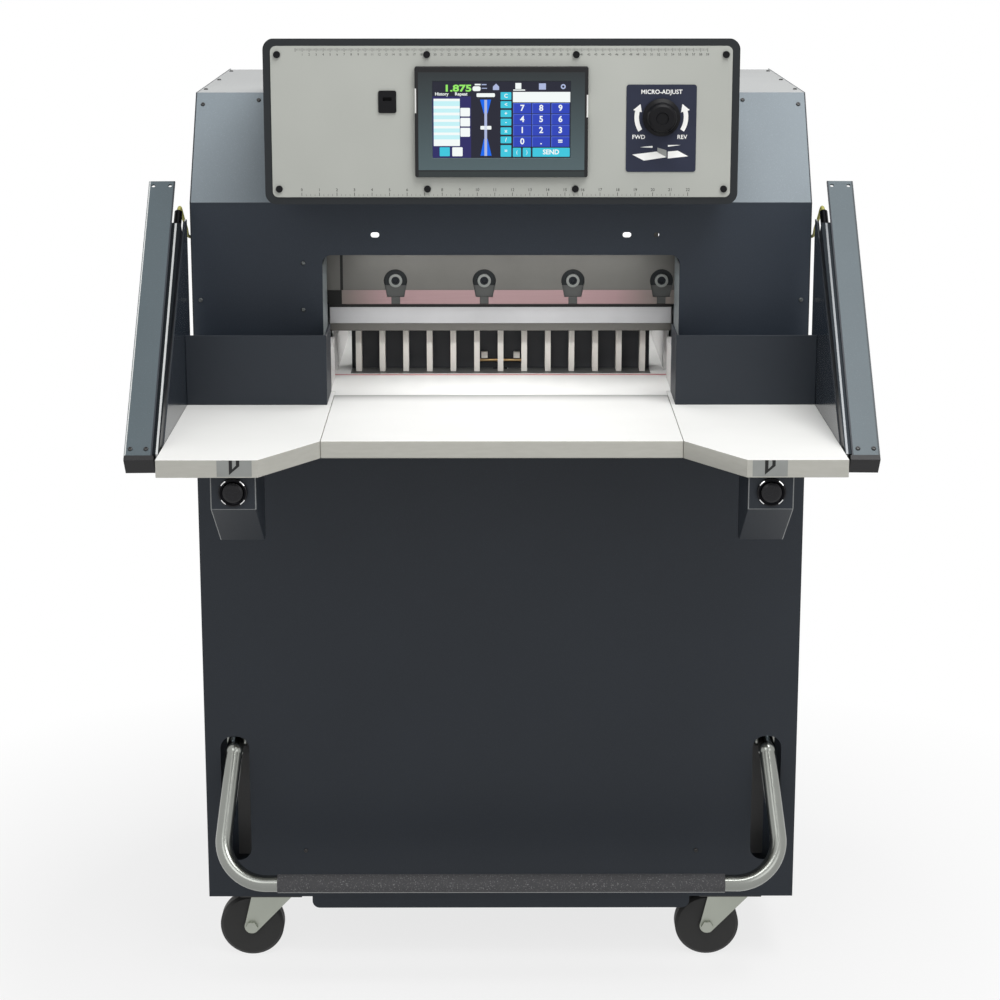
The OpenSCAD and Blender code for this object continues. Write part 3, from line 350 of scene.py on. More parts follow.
# Painted light: the columns wear a lighter copy of the coat, as light from above falls on their leaning
# faces. The right one is lighter still, a painted sheen, and a painted highlight runs inside the left one's
# outer edge. The outer edge is darker, the inner edge keeps the coat's colour and the caps are black.
COAT_COLUMN_LIT = powder_coat("slate_powder_coat", rgb(0.069, 0.091, 0.103), 0.40,
                         zones=[(on_right, rgb(0.093, 0.118, 0.132)),
                                (on_outer_edge, rgb(0.045, 0.055, 0.062)),
                                (on_bright_edge, rgb(0.50, 0.52, 0.52)),
                                (on_inner_edge, COAT_COLOUR), (on_cap, COAT_BLACK)])
PANEL_PAINT = powder_coat("panel_paint", rgb(0.395, 0.405, 0.375), 0.5, 0.0, 0.08)
LAY_PAINT = powder_coat("side_lay_paint", rgb(0.52, 0.51, 0.50), 0.4, 0.0, 0.08)
# The bed is white satin, with painted shade behind the cut.
BED_WHITE = powder_coat("bed_satin", rgb(0.84, 0.84, 0.82), 0.34, 0.0, 0.05,
                        [(behind_cut, rgb(0.080, 0.083, 0.080))])
CASTING = powder_coat("casting_paint", rgb(0.05, 0.055, 0.06), 0.5, 0.2, 0.5)
# Painted light: the side frames and foot bearings, seen through the foot bar's slots, wear a much lighter
# copy of the casting paint, so the slots look lit.
FRAME_LIT = powder_coat("frame_paint", rgb(0.21, 0.21, 0.21), 0.5, 0.2, 0.5)
KNOB_BLACK = moulded("knob_plastic", rgb(0.005, 0.005, 0.006), 0.38, 200, 0.03, 0.14)
MOTOR_PAINT = powder_coat("motor_paint", rgb(0.05, 0.08, 0.12), 0.4, 0.1)
BLACK = moulded("black_plastic", rgb(0.012, 0.012, 0.014), 0.45)
GLOSS_BLACK = moulded("smooth_black_plastic", rgb(0.008, 0.008, 0.010), 0.22, 200, 0.03, 0.25)
NAVY = moulded("dial_overlay", rgb(0.020, 0.024, 0.044), 0.5, specular=0.2)
RED_STICK = moulded("cutting_stick_plastic", rgb(0.60, 0.26, 0.26), 0.5)
CABLE = moulded("cable_sheath", rgb(0.40, 0.38, 0.10), 0.45)
INK = moulded("black_ink", rgb(0.012, 0.012, 0.012), 0.6, specular=0.3)
WHITE_INK = moulded("white_ink", rgb(0.85, 0.85, 0.82), 0.6)
TAPE = moulded("grey_tape", rgb(0.25, 0.26, 0.25), 0.5)
print("painted and moulded finishes:", len(bpy.data.materials))

# %% [markdown]
# Bare metal comes in several states: ground steel on the knife beam and clamp, satin zinc on
# the foot bar and casters, chrome round the buttons painted dark with four painted glints, and
# brass on the gauge pin. Ground steel shows long fine scratches, so its noise is stretched along
# the grinding direction.

# %% Metals
GRAIN = {"X": (0.02, 1, 1), "Y": (1, 0.02, 1), "Z": (1, 1, 0.02)}
SCRATCH_SCALE, STAIN_SCALE = 700, 14
SCRATCH_DEPTH = 0.2 * MM


def ground_metal(name, colour, rough, along="X", streak=0.3, zones=()):
    finish = Finish(name)
    scratch = finish.noise(SCRATCH_SCALE, 3, GRAIN[along])
    stain = finish.noise(STAIN_SCALE, 3)
    tint = finish.mix(stain, shift(colour, 0.86), shift(colour, 1.08))
    for mask, other in zones:
        tint = finish.mix(mask(finish), tint, other)
    return finish.shade(Base_Color=tint, Metallic=1.0, Roughness=rough + streak * 0.4 * scratch,
                        Normal=finish.bump(scratch, 0.12, SCRATCH_DEPTH))


print("recipe for metal ready")

# %% [markdown]
# Metal has zones too: the shaded lip of the clamp, a painted shadow across the clamp's top under
# the knife, painted shade in the sockets of the knife's screws, a bright strip on each light bar
# that is a painted highlight, and painted glints on the rings.

# %% Zones of the metal parts, and the metals
LIP_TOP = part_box("clamp_beam")[0].z + 13 * MM
SHADE_LOW = TABLE_Z + 109 * MM
RING_IN, GLINT_LEVEL = 18.2 * MM, 0.62
SCREW_PITCH, SOCKET_R = 140 * MM, 6.6 * MM
STRIP_X, STRIP_HALF = 478.1 * MM, 1.5 * MM
BOOT_FROM = 432 * MM


def on_clamp_lip(finish):
    return finish.axis("Z").below(LIP_TOP)


# Painted shadow: the clamp is dark above this height, under the knife.
def on_clamp_top(finish):
    return finish.axis("Z").above(SHADE_LOW)


def in_screw_socket(finish):
    """Painted shade in the sockets of the evenly spaced knife screws."""
    low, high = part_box("knife_screws")
    across = (finish.axis("X") - (low.x + (high.z - low.z) / 2)).math("PINGPONG", SCREW_PITCH / 2)
    up = finish.axis("Z") - (low.z + high.z) / 2
    return (across * across + up * up).below(SOCKET_R * SOCKET_R)


def on_boot(finish):
    return column_run(finish).above(BOOT_FROM)


def off_strip(finish):
    """All of a light bar but its bright strip, a painted highlight that follows the splay of the columns.
    """
    return (column_across(finish) - STRIP_X).size().above(STRIP_HALF)


def inside_ring(finish):
    across = finish.axis("X").size() - BUTTON_X
    up = finish.axis("Z") - BUTTON_Z
    return (across * across + up * up).below(RING_IN * RING_IN)


def off_glint(finish):
    """The quarters of a chrome ring painted dark, a painted reflection, between four painted glints."""
    wide = finish.axis("X").size() - BUTTON_X
    up = finish.axis("Z") - BUTTON_Z
    wide, up = wide * wide, up * up
    around = wide + up
    return (6 * wide * up - wide * wide - up * up).below(GLINT_LEVEL * (around * around))


STEEL = ground_metal("ground_steel", rgb(0.42, 0.41, 0.40), 0.30)
CLAMP_STEEL = ground_metal("clamp_steel", rgb(0.50, 0.50, 0.51), 0.34,
                           zones=[(on_clamp_lip, rgb(0.15, 0.145, 0.135)),
                                  (on_clamp_top, rgb(0.03, 0.03, 0.03))])
KNIFE_SCREW = ground_metal("knife_screw_steel", rgb(0.20, 0.21, 0.20), 0.34, "Y",
                           zones=[(in_screw_socket, rgb(0.02, 0.022, 0.025))])
# Painted shade: the knife's steel is nearly black, the shadow between the beam and the clamp.
BLADE_SHADED = ground_metal("blade_steel", rgb(0.045, 0.040, 0.040), 0.30)
ZINC = ground_metal("satin_zinc", rgb(0.40, 0.42, 0.37), 0.36, "Z")
# Painted highlight: the bright strip on each light bar, dimmer on the right one.
LIGHT_BAR = ground_metal("light_bar_metal", rgb(0.42, 0.43, 0.43), 0.30, "Z",
                         zones=[(on_right, rgb(0.12, 0.125, 0.13)), (off_strip, rgb(0.010, 0.012, 0.014)),
                                (on_boot, COAT_BLACK)])
TUBE = ground_metal("satin_tube", rgb(0.28, 0.29, 0.27), 0.18, "X", 0.15)
ROD = ground_metal("rod_steel", rgb(0.66, 0.66, 0.66), 0.18, "Z")
# Painted reflection: the chrome ring is dark but for four painted glints.
CHROME = ground_metal("chrome_ring", rgb(0.75, 0.75, 0.75), 0.10, "X", 0.05,
                      zones=[(off_glint, rgb(0.025, 0.025, 0.026)), (inside_ring, COAT_BLACK)])
BRASS = ground_metal("turned_brass", rgb(0.42, 0.28, 0.13), 0.28, "X")
HEAD_SCREW = ground_metal("head_screw_steel", rgb(0.13, 0.14, 0.14), 0.34, "Y")
SCREW_STEEL = ground_metal("black_oxide", rgb(0.06, 0.06, 0.06), 0.34, "Y")
print("metals made")

# %% [markdown]
# Five finishes need their own recipe. First come the table tops, white laminate with a greyer
# sawn edge and painted shade that darkens it towards the seam behind the middle table, the
# speckled closed-cell foam of the foot grip with a painted light line along its lower edge, and
# the dusty black rubber of the wheels.

# %% Laminate, foam and rubber
TABLE_FACE = 0.4 * MM
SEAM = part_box("front_table")[1]
SEAM_FADE = 62 * MM
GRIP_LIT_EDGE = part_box("foot_grip")[0].z + 3 * MM


def laminate():
    finish = Finish("white_laminate")
    top = finish.axis("Z").above(TABLE_Z - TABLE_FACE)
    grime = finish.noise(9, 4)
    face = finish.mix(grime, rgb(0.80, 0.80, 0.78), rgb(0.86, 0.86, 0.84))
    # Painted shade: the top grows darker towards the seam behind the middle table.
    near = finish.ramp(finish.axis("Y"), SEAM.y - SEAM_FADE, SEAM.y)
    seam_shade = near * near * finish.axis("X").size().below(SEAM.x)
    face = finish.mix(seam_shade, face, rgb(0.29, 0.29, 0.28))
    edge = finish.mix(finish.noise(40, 3, (1, 1, 6)), rgb(0.395, 0.39, 0.35), rgb(0.465, 0.46, 0.42))
    texture = finish.noise(1200, 2)
    return finish.shade(Base_Color=finish.mix(top, edge, face), Roughness=0.42 + 0.1 * texture,
                        Normal=finish.bump(texture, 0.06, SCRATCH_DEPTH))


def foam():
    finish = Finish("foot_foam")
    cells = finish.add("ShaderNodeTexVoronoi", None, {"Vector": finish.place, "Scale": 420.0}, "Distance")
    spots = finish.noise(520, 2)
    flecks = finish.ramp(spots, 0.60, 0.70, 0.0, 0.8)
    tint = finish.mix(flecks, rgb(0.062, 0.062, 0.066), rgb(0.26, 0.26, 0.26))
    # Painted light: a pale line along the grip's lower edge.
    tint = finish.mix(finish.axis("Z").below(GRIP_LIT_EDGE), tint, rgb(0.60, 0.61, 0.60))
    return finish.shade(Base_Color=tint, Roughness=0.85 + 0.1 * spots,
                        Normal=finish.bump(cells, 0.5, 0.8 * MM))


def rubber():
    finish = Finish("wheel_rubber")
    dust = finish.noise(60, 4)
    tint = finish.mix(dust, rgb(0.007, 0.007, 0.007), rgb(0.018, 0.018, 0.017))
    return finish.shade(Base_Color=tint, Roughness=0.5 + 0.25 * dust,
                        Normal=finish.bump(dust, 0.15, 0.5 * MM))


LAMINATE = laminate()
FOAM = foam()
RUBBER = rubber()
print("seam of the table at", round(SEAM.y, 4))

# %% [markdown]
# The knife beam is ground steel. A strip near its lower edge carries a painted reflection of red
# light that fades at the ends, its pockets carry painted shade, and a dark line and its left end
# are darker. The gauge is cream in front of a dark beam. The screen's bezel is painted paler on
# its way down, a painted reflection as of a slope under a lamp.

# %% Beam, gauge and bezel
BEAM_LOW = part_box("knife_beam")[0]
BEAM_STRIP, BEAM_SKIN = 22.5 * MM, 3.5 * MM
BEAM_END, STRIP_FADE = -251 * MM, 70 * MM
DARK_LINE_HALF = 2.2 * MM
POCKET_Z = BEAM_LOW.z + 29 * MM
GAUGE_BEAM_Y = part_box("gauge_pin")[1].y + 1.5 * MM
BEZEL_LOW, BEZEL_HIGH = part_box("screen_bezel")
RIM_W, RIM_TOP = 5 * MM, 8 * MM
BEZEL_FOLD, FOLD_HALF = BEZEL_LOW.z + 9.5 * MM, 0.9 * MM
SIDE_GLINT_W = 2.2 * MM
LEFT_GLINT, RIGHT_GLINT = (13 * MM, 48 * MM), (7 * MM, 39 * MM)


def beam_steel():
    finish = Finish("beam_steel")
    strip = finish.axis("Z").below(BEAM_LOW.z + BEAM_STRIP)
    recess = finish.axis("Y").above(BEAM_LOW.y + BEAM_SKIN)
    scratch = finish.noise(SCRATCH_SCALE, 3, GRAIN["X"])
    ground = finish.mix(finish.noise(STAIN_SCALE, 3), rgb(0.101, 0.098, 0.091), rgb(0.125, 0.123, 0.115))
    # Painted reflection: the strip near the lower edge is rosy with red light, fading to brownish grey at
    # the ends.
    red_reflection = finish.mix(scratch, rgb(0.300, 0.195, 0.202), rgb(0.350, 0.240, 0.248))
    red_reflection_share = finish.ramp(finish.axis("X").size(), -BEAM_END, -BEAM_END - STRIP_FADE)
    red_reflection = finish.mix(red_reflection_share, rgb(0.205, 0.180, 0.165), red_reflection)
    # A dark upright line above the strip, and the beam darker at its left end.
    end = finish.axis("X").below(BEAM_END) * strip
    dark_line = (finish.axis("X") - BEAM_END).size().below(DARK_LINE_HALF) * (1 - strip)
    # Painted shade in the pockets: dark above a height, lighter below it.
    pocket_low = finish.axis("Z").below(POCKET_Z)
    pocket_shade = finish.mix(pocket_low, rgb(0.018, 0.020, 0.021), rgb(0.070, 0.072, 0.070))
    face = finish.mix(end.either(dark_line), finish.mix(strip, ground, red_reflection), rgb(0.020, 0.020, 0.020))
    tint = finish.mix(recess, face, pocket_shade)
    return finish.shade(Base_Color=tint, Metallic=0.85, Roughness=0.36 + 0.12 * scratch,
                        Normal=finish.bump(scratch, 0.12, SCRATCH_DEPTH))


def on_gauge_beam(finish):
    return finish.axis("Y").above(GAUGE_BEAM_Y)


def bezel_plastic():
    """Painted paler downwards, a painted reflection, with a black rim, a dark lip under a fold and a pale
    painted highlight on each side.
    """
    finish = Finish("bezel_plastic")
    x, z = finish.axis("X"), finish.axis("Z")
    up = z - (BEZEL_LOW.z + BEZEL_HIGH.z) / 2
    # Painted reflection: the face grows paler downwards.
    fade = finish.ramp(z, BEZEL_HIGH.z, BEZEL_LOW.z)
    face = finish.mix(fade, rgb(0.014, 0.017, 0.019), rgb(0.074, 0.110, 0.120))
    rim = x.size().above(BEZEL_HIGH.x - RIM_W).either(z.above(BEZEL_HIGH.z - RIM_TOP))
    fold = (z - BEZEL_FOLD).size().below(FOLD_HALF)
    # Painted highlights: a pale mark on each side.
    left = x.below(BEZEL_LOW.x + SIDE_GLINT_W) * up.above(LEFT_GLINT[0]) * up.below(LEFT_GLINT[1])
    right = x.above(BEZEL_HIGH.x - SIDE_GLINT_W) * up.above(RIGHT_GLINT[0]) * up.below(RIGHT_GLINT[1])
    face = finish.mix(z.below(BEZEL_FOLD), face, rgb(0.022, 0.029, 0.030))
    tint = finish.mix(rim.either(fold), face, COAT_BLACK)
    return finish.shade(Base_Color=finish.mix(left.either(right), tint, rgb(0.70, 0.70, 0.68)),
                        Roughness=0.38 + 0.1 * finish.noise(700, 2), Specular_IOR_Level=0.3)


BEZEL = bezel_plastic()
BEAM = beam_steel()
GAUGE = powder_coat("gauge_cream", rgb(0.60, 0.58, 0.54), 0.45, 0.0, 0.1,
                    [(on_gauge_beam, rgb(0.032, 0.034, 0.038))])
print("special finishes made")

# %% [markdown]
# The display and the work lamps make their own light. A plain emitting finish at strength
# one shows exactly the colour that is written.


# %% Lit finishes
def lit(name, colour, strength=1.0):
    finish = Finish(name)
    return finish.shade(Base_Color=rgb(0, 0, 0), Roughness=0.3, Specular_IOR_Level=0.12,
                        Emission_Color=colour, Emission_Strength=strength)


LAMP = lit("lamp_diffuser", rgb(1.0, 1.0, 1.0), 1.2)
SCREEN_DARK = lit("screen_slate", rgb(0.022, 0.023, 0.038))
SCREEN_NAVY = lit("screen_navy", rgb(0.030, 0.028, 0.130))
SCREEN_KEY = lit("screen_key_blue", rgb(0.030, 0.060, 0.480))
SCREEN_EDGE = lit("screen_key_edge", rgb(0.085, 0.150, 0.660))
SCREEN_CYAN = lit("screen_cyan", rgb(0.050, 0.560, 0.720))
SCREEN_PALE = lit("screen_pale_cyan", rgb(0.560, 0.880, 0.920))
SCREEN_WHITE = lit("screen_white", rgb(0.900, 0.950, 0.940))
SCREEN_GREEN = lit("screen_green", rgb(0.300, 0.800, 0.140))
SCREEN_BLUE = lit("screen_blue", rgb(0.010, 0.140, 0.850))
SCREEN_HAZE = lit("screen_haze", rgb(0.420, 0.480, 0.720))
print("lit finishes made")

# %% [markdown]
# Every node gets its finish from one table. A node's mesh stays as it is and only its
# material slot changes.

# %% Finish every node
NODE_FINISH = {
    COAT: ["base_frame", "base_apron", "cabinet_front", "side_covers", "rear_cover", "table_brackets",
           "guards"],
    COAT_PLATE: ["side_plates"],
    COAT_DEEP: ["control_box"],
    COAT_BOX: ["button_boxes"],
    COAT_HEAD: ["head_front_cover"],
    COAT_TOP_LIT: ["top_cover"],
    COAT_COLUMN_LIT: ["columns"],
    CASTING: ["crosshead", "knife_cylinder", "clamp_cylinders", "oil_tank", "gauge_drive"],
    FRAME_LIT: ["side_frames", "foot_bearings"],
    STEEL: ["guide_studs", "lead_screw"],
    KNIFE_SCREW: ["knife_screws"],
    BED_WHITE: ["bed"],
    LAY_PAINT: ["side_lays"],
    LIGHT_BAR: ["light_bars"],
    CLAMP_STEEL: ["clamp_beam"],
    ROD: ["knife_rod", "clamp_rods"],
    BEAM: ["knife_beam"],
    BLADE_SHADED: ["knife"],
    GAUGE: ["back_gauge"],
    BRASS: ["gauge_pin"],
    LAMINATE: ["front_table", "side_tables"],
    PANEL_PAINT: ["control_panel"],
    BEZEL: ["screen_bezel"],
    BLACK: ["power_inlet"],
    KNOB_BLACK: ["micro_knob", "panel_screws", "data_socket"],
    SCREEN_DARK: ["screen_glass"],
    NAVY: ["dial_plate"],
    GLOSS_BLACK: ["left_cut_button", "right_cut_button"],
    CHROME: ["button_bezels"],
    ZINC: ["left_fork", "right_fork", "rear_forks"],
    SCREW_STEEL: ["caster_plates"],
    TUBE: ["foot_bar"],
    CABLE: ["sensor_cables"],
    RED_STICK: ["cutting_stick"],
    LAMP: ["lamps"],
    MOTOR_PAINT: ["pump_motor"],
    FOAM: ["foot_grip"],
    RUBBER: ["front_left_wheel", "front_right_wheel", "rear_left_wheel", "rear_right_wheel"],
}
for material, names in NODE_FINISH.items():
    for name in names:
        NODES[name].data.materials.clear()
        NODES[name].data.materials.append(material)
print("nodes without a finish:", sorted(set(NODES) - {n for names in NODE_FINISH.values() for n in names}))

# %% [markdown]
# Folded and sawn pieces have no knife-sharp edges. A copy of a node is welded, its flat faces
# are joined, and its sharp edges are bevelled. The copy then stands for the node.

# %% Rounded copies
WELD = 0.01 * MM
FLAT_ANGLE, SHARP_ANGLE = math.radians(0.5), math.radians(35)
EDGE_RADII = {"front_table": 1.5, "side_tables": 0.6, "guards": 0.8, "columns": 0.8, "button_boxes": 1.2,
              "clamp_beam": 0.8, "screen_bezel": 1.6, "control_panel": 0.5, "base_apron": 0.5,
              "control_box": 2.0, "button_bezels": 1.6}


def add_piece(name, mesh, body, material=None):
    piece = bpy.data.objects.new(name, mesh)
    scene.collection.objects.link(piece)
    if material:
        mesh.materials.append(material)
    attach(piece, body)
    return piece


def rounded(node, radius, segments=2):
    shape = bmesh.new()
    shape.from_mesh(NODES[node].data)
    bmesh.ops.remove_doubles(shape, verts=shape.verts, dist=WELD)
    bmesh.ops.dissolve_limit(shape, angle_limit=FLAT_ANGLE, verts=shape.verts, edges=shape.edges)
    sharp = [e for e in shape.edges if len(e.link_faces) == 2 and e.calc_face_angle(0) > SHARP_ANGLE]
    bmesh.ops.bevel(shape, geom=sharp, offset=radius, segments=segments, profile=0.5, affect="EDGES",
                    clamp_overlap=True)
    mesh = bpy.data.meshes.new(node + "_rounded")
    bmesh.ops.triangulate(shape, faces=[f for f in shape.faces if len(f.verts) > 4])
    shape.to_mesh(mesh)
    shape.free()
    for material in NODES[node].data.materials:
        mesh.materials.append(material)
    piece = add_piece(node + "_rounded", mesh, NODE_BODY[node])
    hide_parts(node)
    return piece


rounded_pieces = [rounded(node, radius * MM) for node, radius in EDGE_RADII.items()]
print("rounded:", [(p.name, len(p.data.polygons)) for p in rounded_pieces])

# %% [markdown]
# Print, tape and screen symbols are thin flat shapes standing on a face that looks forward.
# Each is an outline in width and height, given a little thickness. Shapes of one colour
# become one piece.

# %% Flat shapes
INK_T = 0.12 * MM
PRINT_WELD = 0.0005 * MM


def add_prism(shape, outline, face_y, thick):
    front = [shape.verts.new((x, face_y - thick, z)) for x, z in outline]
    back = [shape.verts.new((x, face_y, z)) for x, z in outline]
    shape.faces.new(front)
    shape.faces.new(back[::-1])
    for i in range(len(outline)):
        j = (i + 1) % len(outline)
        shape.faces.new((front[j], front[i], back[i], back[j]))


def slab(x0, z0, x1, z1):
    return [(x0, z0), (x1, z0), (x1, z1), (x0, z1)]


def round_slab(x0, z0, x1, z1, radius, steps=4):
    outline = []
    corners = ((x1, z1, 0), (x0, z1, 90), (x0, z0, 180), (x1, z0, 270))
    for x, z, start in corners:
        cx = x - math.copysign(radius, x - (x0 + x1) / 2)
        cz = z - math.copysign(radius, z - (z0 + z1) / 2)
        for k in range(steps + 1):
            angle = math.radians(start + 90 * k / steps)
            outline.append((cx + radius * math.cos(angle), cz + radius * math.sin(angle)))
    return outline


def lettering(words, size, x, z, bold=0.0, wide=1.0):
    """Words as a flat mesh in width and height. Bold swells the strokes by a share of the size."""
    curve = bpy.data.curves.new("words", "FONT")
    curve.body = words
    curve.size = size
    curve.offset = bold * size
    curve.align_x = "CENTER"
    curve.align_y = "CENTER"
    curve.extrude = INK_T / 2
    curve.resolution_u = 3
    holder = bpy.data.objects.new("words", curve)
    scene.collection.objects.link(holder)
    graph = bpy.context.evaluated_depsgraph_get()
    mesh = bpy.data.meshes.new_from_object(holder.evaluated_get(graph))
    widen = Matrix.Diagonal((wide, 1, 1, 1))
    mesh.transform(Matrix.Translation((x, 0, z)) @ Matrix.Rotation(math.radians(90), 4, "X") @ widen)
    bpy.data.objects.remove(holder)
    bpy.data.curves.remove(curve)
    return mesh


def flat_piece(name, material, body, face_y, outlines=(), words=(), thick=INK_T):
    shape = bmesh.new()
    for outline in outlines:
        add_prism(shape, outline, face_y, thick)
    for mesh in words:
        mesh.transform(Matrix.Translation((0, face_y - INK_T / 2, 0)))
        shape.from_mesh(mesh)
        bpy.data.meshes.remove(mesh)
    bmesh.ops.remove_doubles(shape, verts=shape.verts, dist=PRINT_WELD)
    bmesh.ops.recalc_face_normals(shape, faces=shape.faces)
    mesh = bpy.data.meshes.new(name)
    shape.to_mesh(mesh)
    shape.free()
    return add_piece(name, mesh, body, material)


print("flat shapes ready")

# %% [markdown]
# Ticks of a ruler repeat at a steady pitch, so a small Geometry Nodes tree draws them: a line
# of points, each carrying one short bar. Two helpers open and close such a tree, because the
# screws need one as well.


# %% A Geometry Nodes tree for ticks
def open_tree(name, kinds):
    """An empty tree: its graph, its inputs as sockets, and the keys that set them."""
    tree = bpy.data.node_groups.new(name, "GeometryNodeTree")
    keys = {}
    for label, kind in kinds.items():
        socket = tree.interface.new_socket(label, in_out="INPUT", socket_type="NodeSocket" + kind)
        keys[label] = socket.identifier
    tree.interface.new_socket("Geometry", in_out="OUTPUT", socket_type="NodeSocketGeometry")
    graph = Graph(tree)
    inputs = tree.nodes.new("NodeGroupInput")
    given = {label: Socket(graph, inputs.outputs[label]) for label in kinds}
    return graph, given, keys


def close_tree(graph, copies, material):
    """Turns copies into one mesh with one material, and hands it out."""
    mesh = graph.add("GeometryNodeRealizeInstances", None, {"Geometry": copies})
    mesh = graph.add("GeometryNodeSetMaterial", None, {"Geometry": mesh, "Material": material})
    graph.tree.links.new(mesh.socket, graph.tree.nodes.new("NodeGroupOutput").inputs[0])
    return graph.tree


def tick_tree():
    kinds = {"Count": "Int", "Pitch": "Float", "Width": "Float", "Height": "Float", "Start": "Vector",
             "Ink": "Material"}
    graph, given, keys = open_tree("ruler_ticks", kinds)
    step = graph.add("ShaderNodeCombineXYZ", None, {"X": given["Pitch"]})
    line = graph.add("GeometryNodeMeshLine", None,
                     {"Count": given["Count"], "Start Location": given["Start"], "Offset": step})
    size = graph.add("ShaderNodeCombineXYZ", None, {"X": given["Width"], "Y": INK_T, "Z": given["Height"]})
    bar = graph.add("GeometryNodeMeshCube", None, {"Size": size})
    ticks = graph.add("GeometryNodeInstanceOnPoints", None, {"Points": line, "Instance": bar})
    return close_tree(graph, ticks, given["Ink"]), keys


def grown(name, tree, keys, values, body, seed_mesh=None):
    """Runs a tree with its values and keeps the result as a plain mesh."""
    holder = bpy.data.objects.new(name + "_seed", seed_mesh or bpy.data.meshes.new(name + "_seed"))
    scene.collection.objects.link(holder)
    modifier = holder.modifiers.new("grow", "NODES")
    modifier.node_group = tree
    for label, value in values.items():
        modifier[keys[label]] = value
    mesh = bpy.data.meshes.new_from_object(holder.evaluated_get(bpy.context.evaluated_depsgraph_get()))
    bpy.data.objects.remove(holder)
    mesh.name = name
    return add_piece(name, mesh, body)


TICKS, TICK_KEYS = tick_tree()
print("inputs of the tick tree:", list(TICK_KEYS))

# %% [markdown]
# A metric ruler runs along the top of the control panel and an inch ruler along its bottom.
# Each row of ticks is one run of the tree, and all the numbers become one piece.

# %% Rulers
PANEL_LOW, PANEL_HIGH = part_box("control_panel")
PANEL_Y = PANEL_LOW.y
CM, INCH = 10 * MM, 25.4 * MM
cm_start, cm_count = -295 * MM, 59
inch_start, inch_count = -289 * MM, 23
cm_z = PANEL_HIGH.z - 5 * MM
inch_z = PANEL_LOW.z + 3 * MM
# Row, pitch, count, width and height of a tick in millimetres, first tick, height of the row
tick_rows = [("cm_fine", 2 * MM, 5 * cm_count, 0.35, 3.0, cm_start, cm_z),
             ("cm_long", CM, cm_count + 1, 0.6, 5.0, cm_start, cm_z - 0.5 * MM),
             ("inch_fine", INCH / 4, 4 * inch_count - 3, 0.4, 2.6, inch_start, inch_z),
             ("inch_long", INCH, inch_count, 0.7, 5.0, inch_start, inch_z + 1.2 * MM)]
for name, pitch, count, width, height, start, z in tick_rows:
    grown("ruler_" + name, TICKS, TICK_KEYS,
          {"Count": count, "Pitch": pitch, "Width": width * MM, "Height": height * MM,
           "Start": (start, PANEL_Y - INK_T / 2, z), "Ink": INK}, "machine")
numbers = [lettering(str(i + 1), 4.6 * MM, cm_start + (i + 1) * CM, cm_z - 7 * MM)
           for i in range(cm_count)]
numbers += [lettering(str(i), 6 * MM, inch_start + i * INCH, inch_z + 7.5 * MM)
            for i in range(inch_count)]
flat_piece("ruler_numbers", INK, "machine", PANEL_Y, words=numbers)
print("ruler rows:", len(tick_rows))

# %% [markdown]
# The lit screen shows what a cutter's controller shows: a size readout, a list of cuts, a
# picture of the gauge's place and a keypad. Places are shares of the screen's width and
# height, so the picture follows the glass.

# %% Screen grid
GLASS_LOW, GLASS_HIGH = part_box("screen_glass")
GLASS_Y = GLASS_LOW.y
GRID_W, GRID_H = 1290, 720


def at(u, v):
    return (GLASS_LOW.x + (GLASS_HIGH.x - GLASS_LOW.x) * u / GRID_W,
            GLASS_HIGH.z - (GLASS_HIGH.z - GLASS_LOW.z) * v / GRID_H)


def tile(u0, v0, u1, v1, radius=0.0):
    (x0, z1), (x1, z0) = at(u0, v0), at(u1, v1)
    return round_slab(x0, z0, x1, z1, radius * MM) if radius else slab(x0, z0, x1, z1)


def sign(words, size, u, v, bold=0.0, wide=1.0):
    return lettering(words, size * MM, *at(u, v), bold, wide)


def ring(u, v, outer, inner, sides=16):
    centre = Vector(at(u, v))
    turns = [2 * math.pi * k / sides for k in range(sides)]
    rim = [(centre.x + outer * math.cos(t), centre.y + outer * math.sin(t)) for t in turns]
    hole = [(centre.x + inner * math.cos(t), centre.y + inner * math.sin(t)) for t in turns]
    return [[rim[k], rim[(k + 1) % sides], hole[(k + 1) % sides], hole[k]] for k in range(sides)]


print("screen grid:", GRID_W, "by", GRID_H)

# %% [markdown]
# The lists below hold the keys, tiles and words of each colour. One colour is one piece, and
# thin layers keep a tile in front of its field.

# %% Screen layers
KEY_COLUMNS = ((755, 925), (932, 1102), (1112, 1282))
KEY_ROWS = ((202, 300), (306, 406), (410, 510), (518, 615))
KEY_SIGNS = ("789", "456", "123", "0.=")
KEY_EDGE = 7
SIDE_ROWS = ((100, 172), (185, 250), (268, 335), (350, 415), (432, 500), (518, 582), (600, 710))
SIDE_SIGNS = "C<+-x/="
LIST_BANDS = ((185, 230), (255, 292), (318, 355), (380, 418), (442, 480), (505, 545))
keys = [tile(u0, v0, u1, v1) for v0, v1 in KEY_ROWS for u0, u1 in KEY_COLUMNS]
key_edges = [tile(u0, v0, u1, v0 + KEY_EDGE) for v0, v1 in KEY_ROWS for u0, u1 in KEY_COLUMNS]
key_edges += [tile(u0, v0 + KEY_EDGE, u0 + KEY_EDGE, v1) for v0, v1 in KEY_ROWS for u0, u1 in KEY_COLUMNS]
white_words = [sign(KEY_SIGNS[r][c], 12, sum(KEY_COLUMNS[c]) / 2, sum(KEY_ROWS[r]) / 2, 0.025)
               for r in range(4) for c in range(3)]
white_words += [sign("History", 6.4, 86, 118, 0.02), sign("Repeat", 6.4, 268, 118, 0.02)]
white_words += [sign(SIDE_SIGNS[i], 7.5, 687, (v0 + v1) / 2, 0.02) for i, (v0, v1) in enumerate(SIDE_ROWS)]
white_words += [sign("SEND", 9.5, 1110, 667, 0.025), sign("(", 7, 790, 667), sign(")", 7, 884, 667)]
